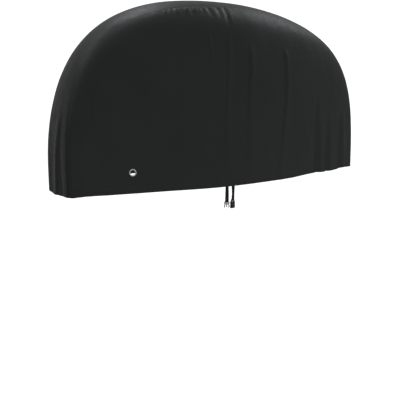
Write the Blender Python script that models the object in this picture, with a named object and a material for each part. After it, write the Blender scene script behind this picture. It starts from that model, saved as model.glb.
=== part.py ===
"""Fitted bicycle cover: two side panels, a centre gusset, eyelets and a strap with a buckle.

Metres, +Z up, +X to the rear end, -Y to the near side. The origin lies under the top of the cover,
on its inner face, where the cover rests. Heights in the functions are counted from the hem, and
every finished point is lowered by HEM_DROP.
"""
import math

import bmesh
import bpy
from mathutils import Matrix, Vector

# Driving dimensions of the shell, in metres
HALF_LENGTH = 1.000
HEIGHT = 0.985
HALF_WIDTH_MIDDLE = 0.324
HALF_WIDTH_END = 0.143
CLOTH = 0.0015
HEM_DROP = HEIGHT - CLOTH

# The outline from the side is one superellipse for each end, the section across another
FRONT_ARCH = {"run": 2.67, "rise": 3.36}
REAR_ARCH = {"run": 1.72, "rise": 5.28}
PLAN_POWER = 1.62
SECTION_POWER = 8.0

# The seam between a side panel and the gusset, as a share of the half width
SEAM_SHARE_AT_HEM = 0.93
SEAM_SHARE_AT_TOP = 0.58
SEAM_HALF_GAP = 0.0002
PIECE_GAP = 0.0004

# The grid of a side panel: its top corners lie on the seam at this share of the arch's height
CORNER_RISE = 0.80
PANEL_RISES = (0.0, 0.025, 0.064, 0.164, 0.28, 0.40, 0.52, 0.63, 0.71, 0.765, 0.80)
END_COLUMNS = (-1.0, -0.98, -0.955, -0.92, -0.88, 0.92, 0.955, 0.98, 1.0)
BASE_COLUMN_STEP = 0.125
CLOSEST_COLUMNS = 0.0125

# The square of cloth round each eyelet, in columns and rises of the panel grid
EYELET_COLUMN = -0.701
PATCH_HALF_COLUMNS = 0.047
PATCH_RISES = (0.064, 0.164)
FLAT_MARGIN = 0.002
EYELET = {
    "hole_radius": 0.0130,
    "barrel_radius": 0.0141,
    "flange_radius": 0.0180,
    "flange": 0.0013,
    "sides": 24,
}

# Folds of the side panels: column, lowest and highest share of the panel's height, half width in
# columns, and depth (negative is a trough)
NEAR_FOLDS = (
    {"column": -0.955, "low": -0.10, "high": 0.62, "half": 0.020, "depth": -0.003},
    {"column": -0.850, "low": -0.10, "high": 0.34, "half": 0.030, "depth": 0.002},
    {"column": -0.195, "low": 0.16, "high": 0.84, "half": 0.022, "depth": -0.004},
    {"column": -0.025, "low": 0.22, "high": 0.84, "half": 0.022, "depth": -0.006},
    {"column": 0.275, "low": -0.10, "high": 0.86, "half": 0.024, "depth": -0.007},
    {"column": 0.395, "low": 0.30, "high": 0.48, "half": 0.030, "depth": -0.003},
    {"column": 0.555, "low": -0.10, "high": 0.58, "half": 0.024, "depth": -0.006},
    {"column": 0.680, "low": -0.10, "high": 0.56, "half": 0.022, "depth": -0.005},
    {"column": 0.810, "low": -0.10, "high": 0.60, "half": 0.026, "depth": -0.004},
)
FAR_FOLDS = (
    {"column": -0.850, "low": -0.10, "high": 0.50, "half": 0.030, "depth": -0.006},
    {"column": -0.395, "low": -0.10, "high": 0.70, "half": 0.030, "depth": -0.007},
    {"column": 0.110, "low": 0.10, "high": 0.86, "half": 0.026, "depth": -0.009},
    {"column": 0.555, "low": -0.10, "high": 0.66, "half": 0.024, "depth": -0.007},
    {"column": 0.810, "low": -0.10, "high": 0.52, "half": 0.026, "depth": -0.006},
)
# Puckers where the side panel is eased into the top seam
NEAR_PUCKERS = (
    {"column": -0.385, "low": 0.93, "high": 1.06, "half": 0.018, "depth": -0.003},
    {"column": -0.330, "low": 0.92, "high": 1.06, "half": 0.016, "depth": -0.004},
    {"column": -0.285, "low": 0.91, "high": 1.06, "half": 0.016, "depth": -0.005},
    {"column": -0.225, "low": 0.90, "high": 1.06, "half": 0.018, "depth": -0.005},
    {"column": -0.165, "low": 0.89, "high": 1.06, "half": 0.018, "depth": -0.005},
)
PUCKER_FREE_OF_SEAM = 0.985
# Folds along the gusset's two ends: end, share across it, highest rise, half width in shares, depth
GUSSET_FOLDS = (
    {"end": -1, "across": -0.67, "high": 0.50, "half": 0.18, "depth": -0.003},
    {"end": -1, "across": 0.00, "high": 0.58, "half": 0.22, "depth": -0.005},
    {"end": -1, "across": 0.62, "high": 0.40, "half": 0.20, "depth": -0.002},
    {"end": 1, "across": -0.48, "high": 0.50, "half": 0.24, "depth": -0.006},
    {"end": 1, "across": 0.42, "high": 0.54, "half": 0.20, "depth": -0.006},
)
GUSSET_ACROSS = (-1.0, -0.84, -0.67, -0.48, -0.22, 0.0, 0.22, 0.42, 0.62, 0.82, 1.0)

# The hem rises by these amounts at these columns, and fades out this far up the panel
NEAR_HEM_LIFTS = (
    {"column": -0.93, "half": 0.06, "lift": 0.004},
    {"column": -0.25, "half": 0.32, "lift": -0.003},
    {"column": 0.50, "half": 0.22, "lift": 0.006},
    {"column": 0.90, "half": 0.07, "lift": 0.004},
)
FAR_HEM_LIFTS = (
    {"column": -0.44, "half": 0.25, "lift": 0.020},
    {"column": 0.40, "half": 0.30, "lift": 0.006},
)
HEM_LIFT_REACH = 0.5

# Straps: where each is sewn to the hem, its turn about the vertical, and how far it hangs
WEBBING = {"width": 0.020, "thickness": 0.0015, "tuck": 0.030, "tail": 0.026}
LEFT_STRAP = {"x": -0.179, "turn_deg": -22.0, "hang": 0.087}
RIGHT_STRAP = {"x": -0.140, "turn_deg": 10.0, "hang": 0.081}
TURN_STARTS = -0.004
TURN_ENDS = -0.050
TURN_STEPS = 5
LOOP_STEPS = 6

# Buckle halves: each hangs by a bar that the webbing goes round, above a slot
BAR_HALF_DEPTH = 0.0020
BAR_HALF_HEIGHT = 0.0012
SLOT_HEIGHT = 0.0046
SLOT_HALF_WIDTH = 0.0107
FRAME_HALF_WIDTH = 0.0148
FRAME_CORNER = 0.0015
FRAME_BOTTOM = -0.0118
PLUG_ARM = {
    "root": 0.0122,
    "barb": 0.0166,
    "barb_height": -0.0262,
    "notch": 0.0130,
    "tip": 0.0112,
    "inside": 0.0076,
}
PLUG_TIP = -0.0330
TONGUE_HALF_WIDTH = 0.0026
SOCKET_TOP = -0.0066
SOCKET_BOTTOM = -0.0430
SOCKET_HALF_DEPTH = 0.0056
SOCKET_WAIST = {"height": -0.0225, "half_width": 0.0132, "half_height": 0.0060}
CAVITY = {"half_width": 0.0118, "half_depth": 0.0032, "top": -0.0150}
WINDOW = {"top": -0.0185, "bottom": -0.0285, "half_depth": 0.0024}
BUCKLE_BEVEL = 0.0014

SHARP_DEGREES = 40.0

MATERIALS = {
    "cover_cloth": {"color": (0.018, 0.019, 0.018), "roughness": 0.45, "metallic": 0.0},
    "eyelet_metal": {"color": (0.80, 0.81, 0.82), "roughness": 0.18, "metallic": 1.0},
    "webbing": {"color": (0.010, 0.010, 0.011), "roughness": 0.70, "metallic": 0.0},
    "plug_plastic": {"color": (0.42, 0.43, 0.45), "roughness": 0.30, "metallic": 0.0},
    "socket_plastic": {"color": (0.012, 0.012, 0.013), "roughness": 0.35, "metallic": 0.0},
}


def clear_scene():
    for item in list(bpy.data.objects):
        bpy.data.objects.remove(item, do_unlink=True)


def make_material(name):
    values = MATERIALS[name]
    material = bpy.data.materials.new(name)
    material.use_nodes = True
    shader = material.node_tree.nodes["Principled BSDF"]
    shader.inputs["Base Color"].default_value = (*values["color"], 1.0)
    shader.inputs["Roughness"].default_value = values["roughness"]
    shader.inputs["Metallic"].default_value = values["metallic"]
    return material


def smooth_step(value, low, high):
    share = min(max((value - low) / (high - low), 0.0), 1.0)
    return share * share * (3.0 - 2.0 * share)


# The shell's surface

def arch_of(x):
    return FRONT_ARCH if x < 0 else REAR_ARCH


def arch_height(x):
    arch = arch_of(x)
    left = max(1.0 - abs(x / HALF_LENGTH) ** arch["run"], 0.0)
    return HEIGHT * left ** (1.0 / arch["rise"])


def arch_reach(rise, end):
    """How far out the arch lies at this share of its height, at the front (-1) or rear (1) end."""
    arch = FRONT_ARCH if end < 0 else REAR_ARCH
    return end * HALF_LENGTH * (1.0 - rise ** arch["rise"]) ** (1.0 / arch["run"])


def half_width(x):
    swell = HALF_WIDTH_MIDDLE - HALF_WIDTH_END
    return HALF_WIDTH_END + swell * (1.0 - abs(x / HALF_LENGTH) ** PLAN_POWER)


def half_width_slope(x):
    swell = HALF_WIDTH_MIDDLE - HALF_WIDTH_END
    steep = PLAN_POWER * abs(x / HALF_LENGTH) ** (PLAN_POWER - 1.0) / HALF_LENGTH
    return -swell * steep * math.copysign(1.0, x)


def shell_normal(x, y, height, roof):
    """Outward normal; roof is 0 on the upright sides and 1 on the ridge line."""
    arch = arch_of(x)
    run = abs(x / HALF_LENGTH)
    left = max(1.0 - run ** arch["run"], 0.0)
    width = half_width(x)
    side_pull = left * arch["rise"] / SECTION_POWER
    end_pull = roof * arch["run"] * run ** (arch["run"] - 1.0) * math.copysign(1.0, x) / HALF_LENGTH
    along = end_pull - side_pull * 2.0 * y * y * half_width_slope(x) / width ** 3
    across = side_pull * 2.0 * y / width ** 2
    up = roof * arch["rise"] * left / height if height > 1e-6 else 0.0
    return Vector((along, across, up)).normalized()


def shell_point(x, rise_height, share):
    """The point at x, under an arch of rise_height, at this signed share of the half width."""
    roof = 1.0 - share * share
    y = share * half_width(x)
    height = rise_height * roof ** (1.0 / SECTION_POWER)
    return Vector((x, y, height)), shell_normal(x, y, height, roof)


def side_point(x, height, side):
    """The point of the side wall at x and this height."""
    roof = min((height / arch_height(x)) ** SECTION_POWER, 1.0)
    y = side * half_width(x) * math.sqrt(1.0 - roof)
    return Vector((x, y, height)), shell_normal(x, y, height, roof)


def seam_share(rise):
    ease = smooth_step(rise, 0.0, 1.0)
    return SEAM_SHARE_AT_HEM + (SEAM_SHARE_AT_TOP - SEAM_SHARE_AT_HEM) * ease


def seam_height(rise):
    roof = 1.0 - seam_share(rise) ** 2
    return HEIGHT * rise * roof ** (1.0 / SECTION_POWER)


def seam_point(x, rise, side, offset):
    """A point on the seam, moved by offset away from the centre line of the cover."""
    share = seam_share(rise) + offset / half_width(x)
    return shell_point(x, HEIGHT * rise, side * share)


# The grid shared by both side panels and the gusset

def panel_columns():
    wanted = set(END_COLUMNS)
    for fold in NEAR_FOLDS + FAR_FOLDS + NEAR_PUCKERS:
        steps = (-1.0, -0.5, 0.0, 0.5, 1.0) if abs(fold["depth"]) > 0.007 else (-1.0, 0.0, 1.0)
        wanted.update(fold["column"] + step * fold["half"] for step in steps)
    count = round(2.0 / BASE_COLUMN_STEP)
    wanted.update(-1.0 + index * BASE_COLUMN_STEP for index in range(count + 1))
    patch = (EYELET_COLUMN - PATCH_HALF_COLUMNS, EYELET_COLUMN + PATCH_HALF_COLUMNS)
    kept = []
    for column in sorted(wanted):
        inside_patch = patch[0] - CLOSEST_COLUMNS < column < patch[1] + CLOSEST_COLUMNS
        if not inside_patch:
            kept.append(column)
    kept.extend(patch)
    kept.sort()
    fixed = {-1.0, 0.0, 1.0, *patch}
    spaced = [kept[0]]
    for column in kept[1:]:
        if column - spaced[-1] >= CLOSEST_COLUMNS:
            spaced.append(column)
        elif column in fixed:
            spaced[-1] = column
    return spaced


def top_x(column):
    end = math.copysign(1.0, column)
    return abs(column) * arch_reach(CORNER_RISE, end)


def top_rise(x):
    return arch_height(x) / HEIGHT


def panel_place(column, rise):
    """Position from the side of a grid point: columns run from the hem to the top seam."""
    share = seam_height(rise) / seam_height(CORNER_RISE)
    x = (1.0 - share) * column * HALF_LENGTH + share * top_x(column)
    for end in (-1.0, 1.0):
        corner = arch_reach(CORNER_RISE, end)
        straight = (1.0 - share) * end * HALF_LENGTH + share * corner
        nearness = ((1.0 + end * column) / 2.0) ** 3
        x += nearness * (arch_reach(rise, end) - straight)
    height = share * seam_height(top_rise(top_x(column)))
    return x, height, share


def trough(distance, half):
    """A soft bump of height 1, half wide to each side."""
    if abs(distance) >= half:
        return 0.0
    return 0.5 + 0.5 * math.cos(math.pi * distance / half)


def panel_relief(column, share, folds, puckers):
    relief = 0.0
    for fold in folds:
        reach = 0.3 * (fold["high"] - max(fold["low"], 0.0))
        along = smooth_step(share, fold["low"], fold["low"] + 0.1)
        along *= 1.0 - smooth_step(share, fold["high"] - reach, fold["high"])
        relief += fold["depth"] * along * trough(column - fold["column"], fold["half"])
    for pucker in puckers:
        along = smooth_step(share, pucker["low"], PUCKER_FREE_OF_SEAM)
        relief += pucker["depth"] * along * trough(column - pucker["column"], pucker["half"])
    return relief


def hem_lift(column, share, lifts):
    fade = 1.0 - smooth_step(share, 0.0, HEM_LIFT_REACH)
    return sum(row["lift"] * fade * trough(column - row["column"], row["half"]) for row in lifts)


def side_cloth(column, rise, side, form):
    """Point and normal of the side cloth inside its seam, with its folds and its uneven hem."""
    x, height, share = panel_place(column, rise)
    point, normal = side_point(x, height, side)
    point += normal * panel_relief(column, share, form["folds"], form["puckers"])
    point.z += hem_lift(column, share, form["lifts"])
    return point, normal


def panel_point(column, rise, side, form):
    if abs(column) == 1.0:
        return seam_point(arch_reach(rise, column), rise, side, SEAM_HALF_GAP)
    if rise == CORNER_RISE:
        x = top_x(column)
        return seam_point(x, top_rise(x), side, SEAM_HALF_GAP)
    return side_cloth(column, rise, side, form)


def lowered(point):
    return Vector((point.x, point.y, point.z - HEM_DROP))


def seam_stations(columns):
    """Places along the seam, from the front hem over the top to the rear hem."""
    front = [(arch_reach(rise, -1.0), rise) for rise in PANEL_RISES[:-1]]
    top = [(top_x(column), top_rise(top_x(column))) for column in columns]
    rear = [(arch_reach(rise, 1.0), rise) for rise in reversed(PANEL_RISES[:-1])]
    return front + top + rear


def gusset_relief(x, rise, across):
    relief = 0.0
    for fold in GUSSET_FOLDS:
        if x * fold["end"] > 0.0:
            along = 1.0 - smooth_step(rise, 0.5 * fold["high"], fold["high"])
            relief += fold["depth"] * along * trough(across - fold["across"], fold["half"])
    return relief


def gusset_point(x, rise, across):
    edge = seam_share(rise) - SEAM_HALF_GAP / half_width(x)
    point, normal = shell_point(x, HEIGHT * rise, across * edge)
    return point + normal * gusset_relief(x, rise, across), normal


# Turning grids into solids

def finished_object(name, mesh, material):
    shape = bmesh.new()
    shape.from_mesh(mesh)
    loose = [vertex for vertex in shape.verts if not vertex.link_faces]
    bmesh.ops.delete(shape, geom=loose, context="VERTS")
    bmesh.ops.recalc_face_normals(shape, faces=shape.faces)
    shape.to_mesh(mesh)
    shape.free()
    mesh.materials.append(material)
    mesh.shade_smooth()
    mesh.set_sharp_from_angle(angle=math.radians(SHARP_DEGREES))
    item = bpy.data.objects.new(name, mesh)
    bpy.context.scene.collection.objects.link(item)
    return item


def halved(face, points):
    """The two triangles of a four-sided face, parted along its shorter diagonal."""
    first, second, third, fourth = face
    if (points[first] - points[third]).length <= (points[second] - points[fourth]).length:
        return (first, second, third), (first, third, fourth)
    return (first, second, fourth), (second, third, fourth)


def sheet_solid(name, surface, faces, material):
    """A closed sheet: its outer face, the same face a cloth's thickness inside, and its edges.

    Both faces are parted into the same triangles, so they keep their distance in the folds.
    """
    outer = [lowered(point) for point, normal in surface]
    inner = [lowered(point - normal * CLOTH) for point, normal in surface]
    count = len(surface)
    triangles = [triangle for face in faces for triangle in halved(face, outer)]
    shells = list(triangles)
    shells.extend(tuple(index + count for index in reversed(face)) for face in triangles)
    edges = []
    for face in triangles:
        edges.extend(zip(face, face[1:] + face[:1]))
    known = set(edges)
    for start, finish in edges:
        if (finish, start) not in known:
            shells.append((finish, start, start + count, finish + count))
    mesh = bpy.data.meshes.new(name)
    mesh.from_pydata(outer + inner, [], shells)
    return finished_object(name, mesh, material)


def grid_faces(rows, columns, left_out=None):
    faces = []
    for row in range(rows - 1):
        for column in range(columns - 1):
            if (row, column) != left_out:
                first = row * columns + column
                faces.append((first, first + 1, first + columns + 1, first + columns))
    return faces


def make_panel(name, side, form, columns, material):
    surface = [panel_point(column, rise, side, form) for rise in PANEL_RISES for column in columns]
    cut_out = (PANEL_RISES.index(PATCH_RISES[0]), columns.index(EYELET_COLUMN - PATCH_HALF_COLUMNS))
    faces = grid_faces(len(PANEL_RISES), len(columns), cut_out)
    return sheet_solid(name, surface, faces, material)


def make_gusset(columns, material):
    stations = seam_stations(columns)
    surface = [gusset_point(x, rise, across) for x, rise in stations for across in GUSSET_ACROSS]
    faces = grid_faces(len(stations), len(GUSSET_ACROSS))
    return sheet_solid("centre_gusset", surface, faces, material)


# The square of cloth that holds an eyelet, and the eyelet

def patch_place(run, climb, side, form):
    """Point and normal between the four corners of the panel's cut-out, run and climb from -1 to 1."""
    point = Vector()
    normal = Vector()
    for along in (-1, 1):
        for rise, above in zip(PATCH_RISES, (-1, 1)):
            column = EYELET_COLUMN + along * PATCH_HALF_COLUMNS
            corner, corner_normal = side_cloth(column, rise, side, form)
            weight = (1.0 + along * run) * (1.0 + above * climb) / 4.0
            point += corner * weight
            normal += corner_normal * weight
    return point, normal.normalized()


def patch_frame(side, form):
    """Centre of the patch on its outer face, its normal, and its directions to the rear and up."""
    centre, normal = patch_place(0.0, 0.0, side, form)
    upward = (Vector((0.0, 0.0, 1.0)) - normal * normal.z).normalized()
    return centre, normal, upward.cross(normal) * -side, upward


def make_patch(name, side, form, material):
    centre, normal, rearward, upward = patch_frame(side, form)
    kept = 1.0 - PIECE_GAP / (PATCH_HALF_COLUMNS * HALF_LENGTH)
    angles = [math.tau * index / EYELET["sides"] for index in range(EYELET["sides"])]
    surface = []
    for radius in (EYELET["barrel_radius"] + PIECE_GAP, EYELET["flange_radius"] + FLAT_MARGIN):
        for angle in angles:
            offset = rearward * math.cos(angle) + upward * math.sin(angle)
            surface.append((centre + offset * radius, normal))
    for angle in angles:
        reach = max(abs(math.cos(angle)), abs(math.sin(angle))) / kept
        surface.append(patch_place(math.cos(angle) / reach, math.sin(angle) / reach, side, form))
    faces = grid_ring_faces(3, EYELET["sides"])
    return sheet_solid(name, surface, faces, material)


def grid_ring_faces(rings, sides):
    """Faces between rings of points, each ring closed on itself."""
    faces = []
    for ring in range(rings - 1):
        for index in range(sides):
            first = ring * sides + index
            second = ring * sides + (index + 1) % sides
            faces.append((first, second, second + sides, first + sides))
    return faces


def make_eyelet(name, side, form, material):
    """A pressed eyelet: one turned section with a flange on each face of the cloth."""
    centre, normal, _, _ = patch_frame(side, form)
    hole = EYELET["hole_radius"]
    rim = EYELET["flange_radius"]
    thick = EYELET["flange"]
    front = PIECE_GAP
    back = -CLOTH - PIECE_GAP
    section = (
        (hole, front),
        (hole + 0.15 * (rim - hole), front + 0.75 * thick),
        (hole + 0.45 * (rim - hole), front + thick),
        (hole + 0.80 * (rim - hole), front + 0.72 * thick),
        (rim, front + 0.25 * thick),
        (rim, front),
        (EYELET["barrel_radius"], front),
        (EYELET["barrel_radius"], back),
        (rim - 0.4 * thick, back),
        (rim - 0.6 * thick, back - 0.7 * thick),
        (hole + 0.3 * thick, back - 0.8 * thick),
        (hole, back),
    )
    points = []
    for radius, level in section:
        for index in range(EYELET["sides"]):
            angle = math.tau * index / EYELET["sides"]
            points.append((radius * math.cos(angle), radius * math.sin(angle), level))
    faces = grid_ring_faces(len(section), EYELET["sides"])
    last = (len(section) - 1) * EYELET["sides"]
    for index in range(EYELET["sides"]):
        following = (index + 1) % EYELET["sides"]
        faces.append((last + index, last + following, following, index))
    mesh = bpy.data.meshes.new(name)
    mesh.from_pydata(points, [], faces)
    item = finished_object(name, mesh, material)
    item.location = lowered(centre)
    item.rotation_euler = normal.to_track_quat("Z", "Y").to_euler()
    return item


# Straps and the buckle

def strap_frame(strap):
    """Where the strap's middle line passes the hem, and its turn about the vertical there."""
    hem, normal = side_point(strap["x"], 0.0, -1.0)
    behind = CLOTH + PIECE_GAP + WEBBING["thickness"] / 2.0
    return hem - normal * behind, math.atan2(normal.x, -normal.y)


def loop_radius():
    """Radius of the webbing's middle line round the corners of the buckle's bar."""
    corner = math.hypot(BAR_HALF_DEPTH, BAR_HALF_HEIGHT)
    return corner + PIECE_GAP + WEBBING["thickness"] / 2.0


def strap_route(strap):
    """Depth and height of the webbing's middle line, from its tucked end to its sewn tail."""
    radius = loop_radius()
    bar_height = -strap["hang"]
    close = WEBBING["thickness"] + PIECE_GAP
    heights = (WEBBING["tuck"], 0.5 * WEBBING["tuck"], 0.0, TURN_STARTS)
    route = [(0.0, height) for height in heights]
    drop = bar_height - TURN_STARTS
    route.extend((0.0, TURN_STARTS + drop * step / TURN_STEPS) for step in range(1, TURN_STEPS + 1))
    for step in range(1, LOOP_STEPS + 1):
        angle = math.pi * step / LOOP_STEPS
        route.append((radius - radius * math.cos(angle), bar_height - radius * math.sin(angle)))
    route.append((2.0 * radius, bar_height + BAR_HALF_HEIGHT))
    route.append((close, bar_height + 0.4 * WEBBING["tail"]))
    route.append((close, bar_height + WEBBING["tail"]))
    return route


def strap_turn(strap, height, hem_turn):
    share = 1.0 - smooth_step(height, TURN_ENDS, TURN_STARTS)
    return hem_turn + share * (math.radians(strap["turn_deg"]) - hem_turn)


def make_strap(name, strap, material):
    base, hem_turn = strap_frame(strap)
    route = strap_route(strap)
    points = []
    for index, (depth, height) in enumerate(route):
        before = route[max(index - 1, 0)]
        after = route[min(index + 1, len(route) - 1)]
        run = Vector((after[0] - before[0], after[1] - before[1])).normalized()
        turn = Matrix.Rotation(strap_turn(strap, height, hem_turn), 3, "Z")
        for across, face in ((-1, -1), (1, -1), (1, 1), (-1, 1)):
            shift = face * WEBBING["thickness"] / 2.0
            local = Vector((across * WEBBING["width"] / 2.0,
                            depth - run.y * shift,
                            height + run.x * shift))
            points.append(lowered(base + turn @ local))
    faces = [(0, 1, 2, 3)]
    for index in range(len(route) - 1):
        first = 4 * index
        for corner in range(4):
            beside = (corner + 1) % 4
            faces.append((first + corner, first + 4 + corner, first + 4 + beside, first + beside))
    last = 4 * (len(route) - 1)
    faces.append((last + 3, last + 2, last + 1, last))
    mesh = bpy.data.meshes.new(name)
    mesh.from_pydata(points, [], faces)
    return finished_object(name, mesh, material)


def hang_on_strap(item, strap):
    base, hem_turn = strap_frame(strap)
    turn = strap_turn(strap, -strap["hang"], hem_turn)
    offset = Matrix.Rotation(turn, 3, "Z") @ Vector((0.0, loop_radius(), -strap["hang"]))
    item.location = lowered(base + offset)
    item.rotation_euler = (0.0, 0.0, turn)


def mirrored(half_outline):
    """A whole outline from its right half, listed from the top down."""
    return list(half_outline) + [(-x, z) for x, z in reversed(half_outline)]


def slot_outline():
    top = -BAR_HALF_HEIGHT
    return mirrored(((SLOT_HALF_WIDTH, top), (SLOT_HALF_WIDTH, top - SLOT_HEIGHT)))


def plate(outline, holes, half_depth):
    """A flat plate: an outline in x and z with its holes, between two planes across y."""
    shape = bmesh.new()
    edges = []
    for loop in (outline, *holes):
        corners = [shape.verts.new((x, -half_depth, z)) for x, z in loop]
        for start, finish in zip(corners, corners[1:] + corners[:1]):
            edges.append(shape.edges.new((start, finish)))
    filled = bmesh.ops.triangle_fill(shape, use_beauty=True, edges=edges)
    faces = [piece for piece in filled["geom"] if isinstance(piece, bmesh.types.BMFace)]
    grown = bmesh.ops.extrude_face_region(shape, geom=faces, use_keep_orig=True)
    moved = [piece for piece in grown["geom"] if isinstance(piece, bmesh.types.BMVert)]
    bmesh.ops.translate(shape, verts=moved, vec=(0.0, 2.0 * half_depth, 0.0))
    mesh = bpy.data.meshes.new("plate")
    shape.to_mesh(mesh)
    shape.free()
    return mesh


def make_plug(material):
    """The half with two barbed arms and a middle tongue, cut from one plate."""
    arm = PLUG_ARM
    half = (
        (FRAME_HALF_WIDTH - FRAME_CORNER, BAR_HALF_HEIGHT),
        (FRAME_HALF_WIDTH, BAR_HALF_HEIGHT - FRAME_CORNER),
        (FRAME_HALF_WIDTH, FRAME_BOTTOM + FRAME_CORNER),
        (FRAME_HALF_WIDTH - FRAME_CORNER, FRAME_BOTTOM),
        (arm["root"], FRAME_BOTTOM - 0.001),
        (0.5 * (arm["root"] + arm["barb"]), 0.55 * (FRAME_BOTTOM + arm["barb_height"])),
        (arm["barb"], arm["barb_height"] + 0.002),
        (arm["barb"] - 0.0004, arm["barb_height"]),
        (arm["notch"], arm["barb_height"] - 0.0012),
        (arm["notch"] - 0.0004, PLUG_TIP + 0.0025),
        (arm["tip"], PLUG_TIP),
        (arm["tip"] - 0.0022, PLUG_TIP + 0.0006),
        (arm["inside"], FRAME_BOTTOM - 0.0040),
        (arm["inside"] - 0.0014, FRAME_BOTTOM - 0.0016),
        (TONGUE_HALF_WIDTH + 0.0008, FRAME_BOTTOM - 0.0012),
        (TONGUE_HALF_WIDTH, PLUG_TIP + 0.0060),
        (0.5 * TONGUE_HALF_WIDTH, PLUG_TIP + 0.0035),
    )
    mesh = plate(mirrored(half), [slot_outline()], BAR_HALF_DEPTH)
    return finished_object("plug_buckle", mesh, material)


def add_cut(target, cutter, operation):
    cutter.hide_render = True
    cutter.display_type = "WIRE"
    cutter.parent = target
    change = target.modifiers.new(cutter.name, "BOOLEAN")
    change.operation = operation
    change.solver = "EXACT"
    change.object = cutter


def block(name, low, high):
    mesh = bpy.data.meshes.new(name)
    shape = bmesh.new()
    bmesh.ops.create_cube(shape, size=1.0)
    for vertex in shape.verts:
        for axis in range(3):
            vertex.co[axis] = low[axis] if vertex.co[axis] < 0.0 else high[axis]
    shape.to_mesh(mesh)
    shape.free()
    item = bpy.data.objects.new(name, mesh)
    bpy.context.scene.collection.objects.link(item)
    return item


def make_socket(material):
    """The hollow half: a rounded, waisted body open at its lower end, under a thin slotted frame."""
    waist = SOCKET_WAIST
    half = (
        (FRAME_HALF_WIDTH - FRAME_CORNER, SOCKET_TOP),
        (FRAME_HALF_WIDTH, SOCKET_TOP - FRAME_CORNER),
        (FRAME_HALF_WIDTH, waist["height"] + 1.6 * waist["half_height"]),
        (waist["half_width"], waist["height"] + 0.5 * waist["half_height"]),
        (waist["half_width"], waist["height"] - 0.5 * waist["half_height"]),
        (FRAME_HALF_WIDTH, waist["height"] - 1.6 * waist["half_height"]),
        (FRAME_HALF_WIDTH, SOCKET_BOTTOM + FRAME_CORNER),
        (FRAME_HALF_WIDTH - FRAME_CORNER, SOCKET_BOTTOM),
    )
    body = finished_object("socket_buckle", plate(mirrored(half), [], SOCKET_HALF_DEPTH), material)
    rounding = body.modifiers.new("rounding", "BEVEL")
    rounding.width = BUCKLE_BEVEL
    rounding.segments = 2
    rounding.limit_method = "ANGLE"
    rounding.angle_limit = math.radians(60.0)
    frame_half = (
        (FRAME_HALF_WIDTH - FRAME_CORNER, BAR_HALF_HEIGHT),
        (FRAME_HALF_WIDTH - 0.0003, BAR_HALF_HEIGHT - FRAME_CORNER),
        (FRAME_HALF_WIDTH - 0.0003, FRAME_BOTTOM),
    )
    frame_mesh = plate(mirrored(frame_half), [slot_outline()], BAR_HALF_DEPTH)
    frame = finished_object("slotted_frame", frame_mesh, material)
    add_cut(body, frame, "UNION")
    cavity = block(
        "cavity",
        (-CAVITY["half_width"], -CAVITY["half_depth"], SOCKET_BOTTOM - 0.005),
        (CAVITY["half_width"], CAVITY["half_depth"], CAVITY["top"]),
    )
    add_cut(body, cavity, "DIFFERENCE")
    windows = block(
        "windows",
        (-2.0 * FRAME_HALF_WIDTH, -WINDOW["half_depth"], WINDOW["bottom"]),
        (2.0 * FRAME_HALF_WIDTH, WINDOW["half_depth"], WINDOW["top"]),
    )
    add_cut(body, windows, "DIFFERENCE")
    return body


def main():
    clear_scene()
    materials = {name: make_material(name) for name in MATERIALS}
    columns = panel_columns()
    cloth = materials["cover_cloth"]
    near = {"folds": NEAR_FOLDS, "puckers": NEAR_PUCKERS, "lifts": NEAR_HEM_LIFTS}
    far = {"folds": FAR_FOLDS, "puckers": (), "lifts": FAR_HEM_LIFTS}
    for word, side, form in (("near", -1.0, near), ("far", 1.0, far)):
        make_panel(f"{word}_side_panel", side, form, columns, cloth)
        make_patch(f"{word}_eyelet_patch", side, form, cloth)
        make_eyelet(f"{word}_eyelet", side, form, materials["eyelet_metal"])
    make_gusset(columns, cloth)
    make_strap("left_strap", LEFT_STRAP, materials["webbing"])
    make_strap("right_strap", RIGHT_STRAP, materials["webbing"])
    hang_on_strap(make_plug(materials["plug_plastic"]), LEFT_STRAP)
    hang_on_strap(make_socket(materials["socket_plastic"]), RIGHT_STRAP)


main()
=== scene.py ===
"""Looks of the fitted bicycle cover: fine cloth, seams, stitches, eyelets, webbing and buckle.

Metres, +Z up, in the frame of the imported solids. The cloth's surface is worked out from the same
shell as the solids, with finer folds. Heights in the functions are counted from the hem.
"""
import math

import bmesh
import bpy
import numpy as np
from mathutils import Matrix, Vector, noise


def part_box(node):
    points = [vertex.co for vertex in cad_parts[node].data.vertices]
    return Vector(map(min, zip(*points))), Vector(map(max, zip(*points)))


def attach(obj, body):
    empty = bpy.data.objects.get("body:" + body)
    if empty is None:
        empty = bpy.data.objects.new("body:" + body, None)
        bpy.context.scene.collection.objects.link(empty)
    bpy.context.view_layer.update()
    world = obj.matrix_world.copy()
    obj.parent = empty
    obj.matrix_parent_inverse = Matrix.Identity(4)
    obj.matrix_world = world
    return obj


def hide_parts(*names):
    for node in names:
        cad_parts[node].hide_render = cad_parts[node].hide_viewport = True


def table(names, *rows):
    """Rows of values as dictionaries, with these names for the columns."""
    return tuple(dict(zip(names.split(), row)) for row in rows)


# The shell, as the solids have it, in metres
HALF_LENGTH = 1.000
HEIGHT = 0.985
HALF_WIDTH_MIDDLE = 0.324
HALF_WIDTH_END = 0.143
SOLID_CLOTH = 0.0015
HEM_DROP = HEIGHT - SOLID_CLOTH
FRONT_ARCH = {"run": 2.67, "rise": 3.36}
REAR_ARCH = {"run": 1.72, "rise": 5.28}
PLAN_POWER = 1.62
SECTION_POWER = 8.0
SEAM_SHARE_AT_HEM = 0.93
SEAM_SHARE_AT_TOP = 0.58
CORNER_RISE = 0.80

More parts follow.
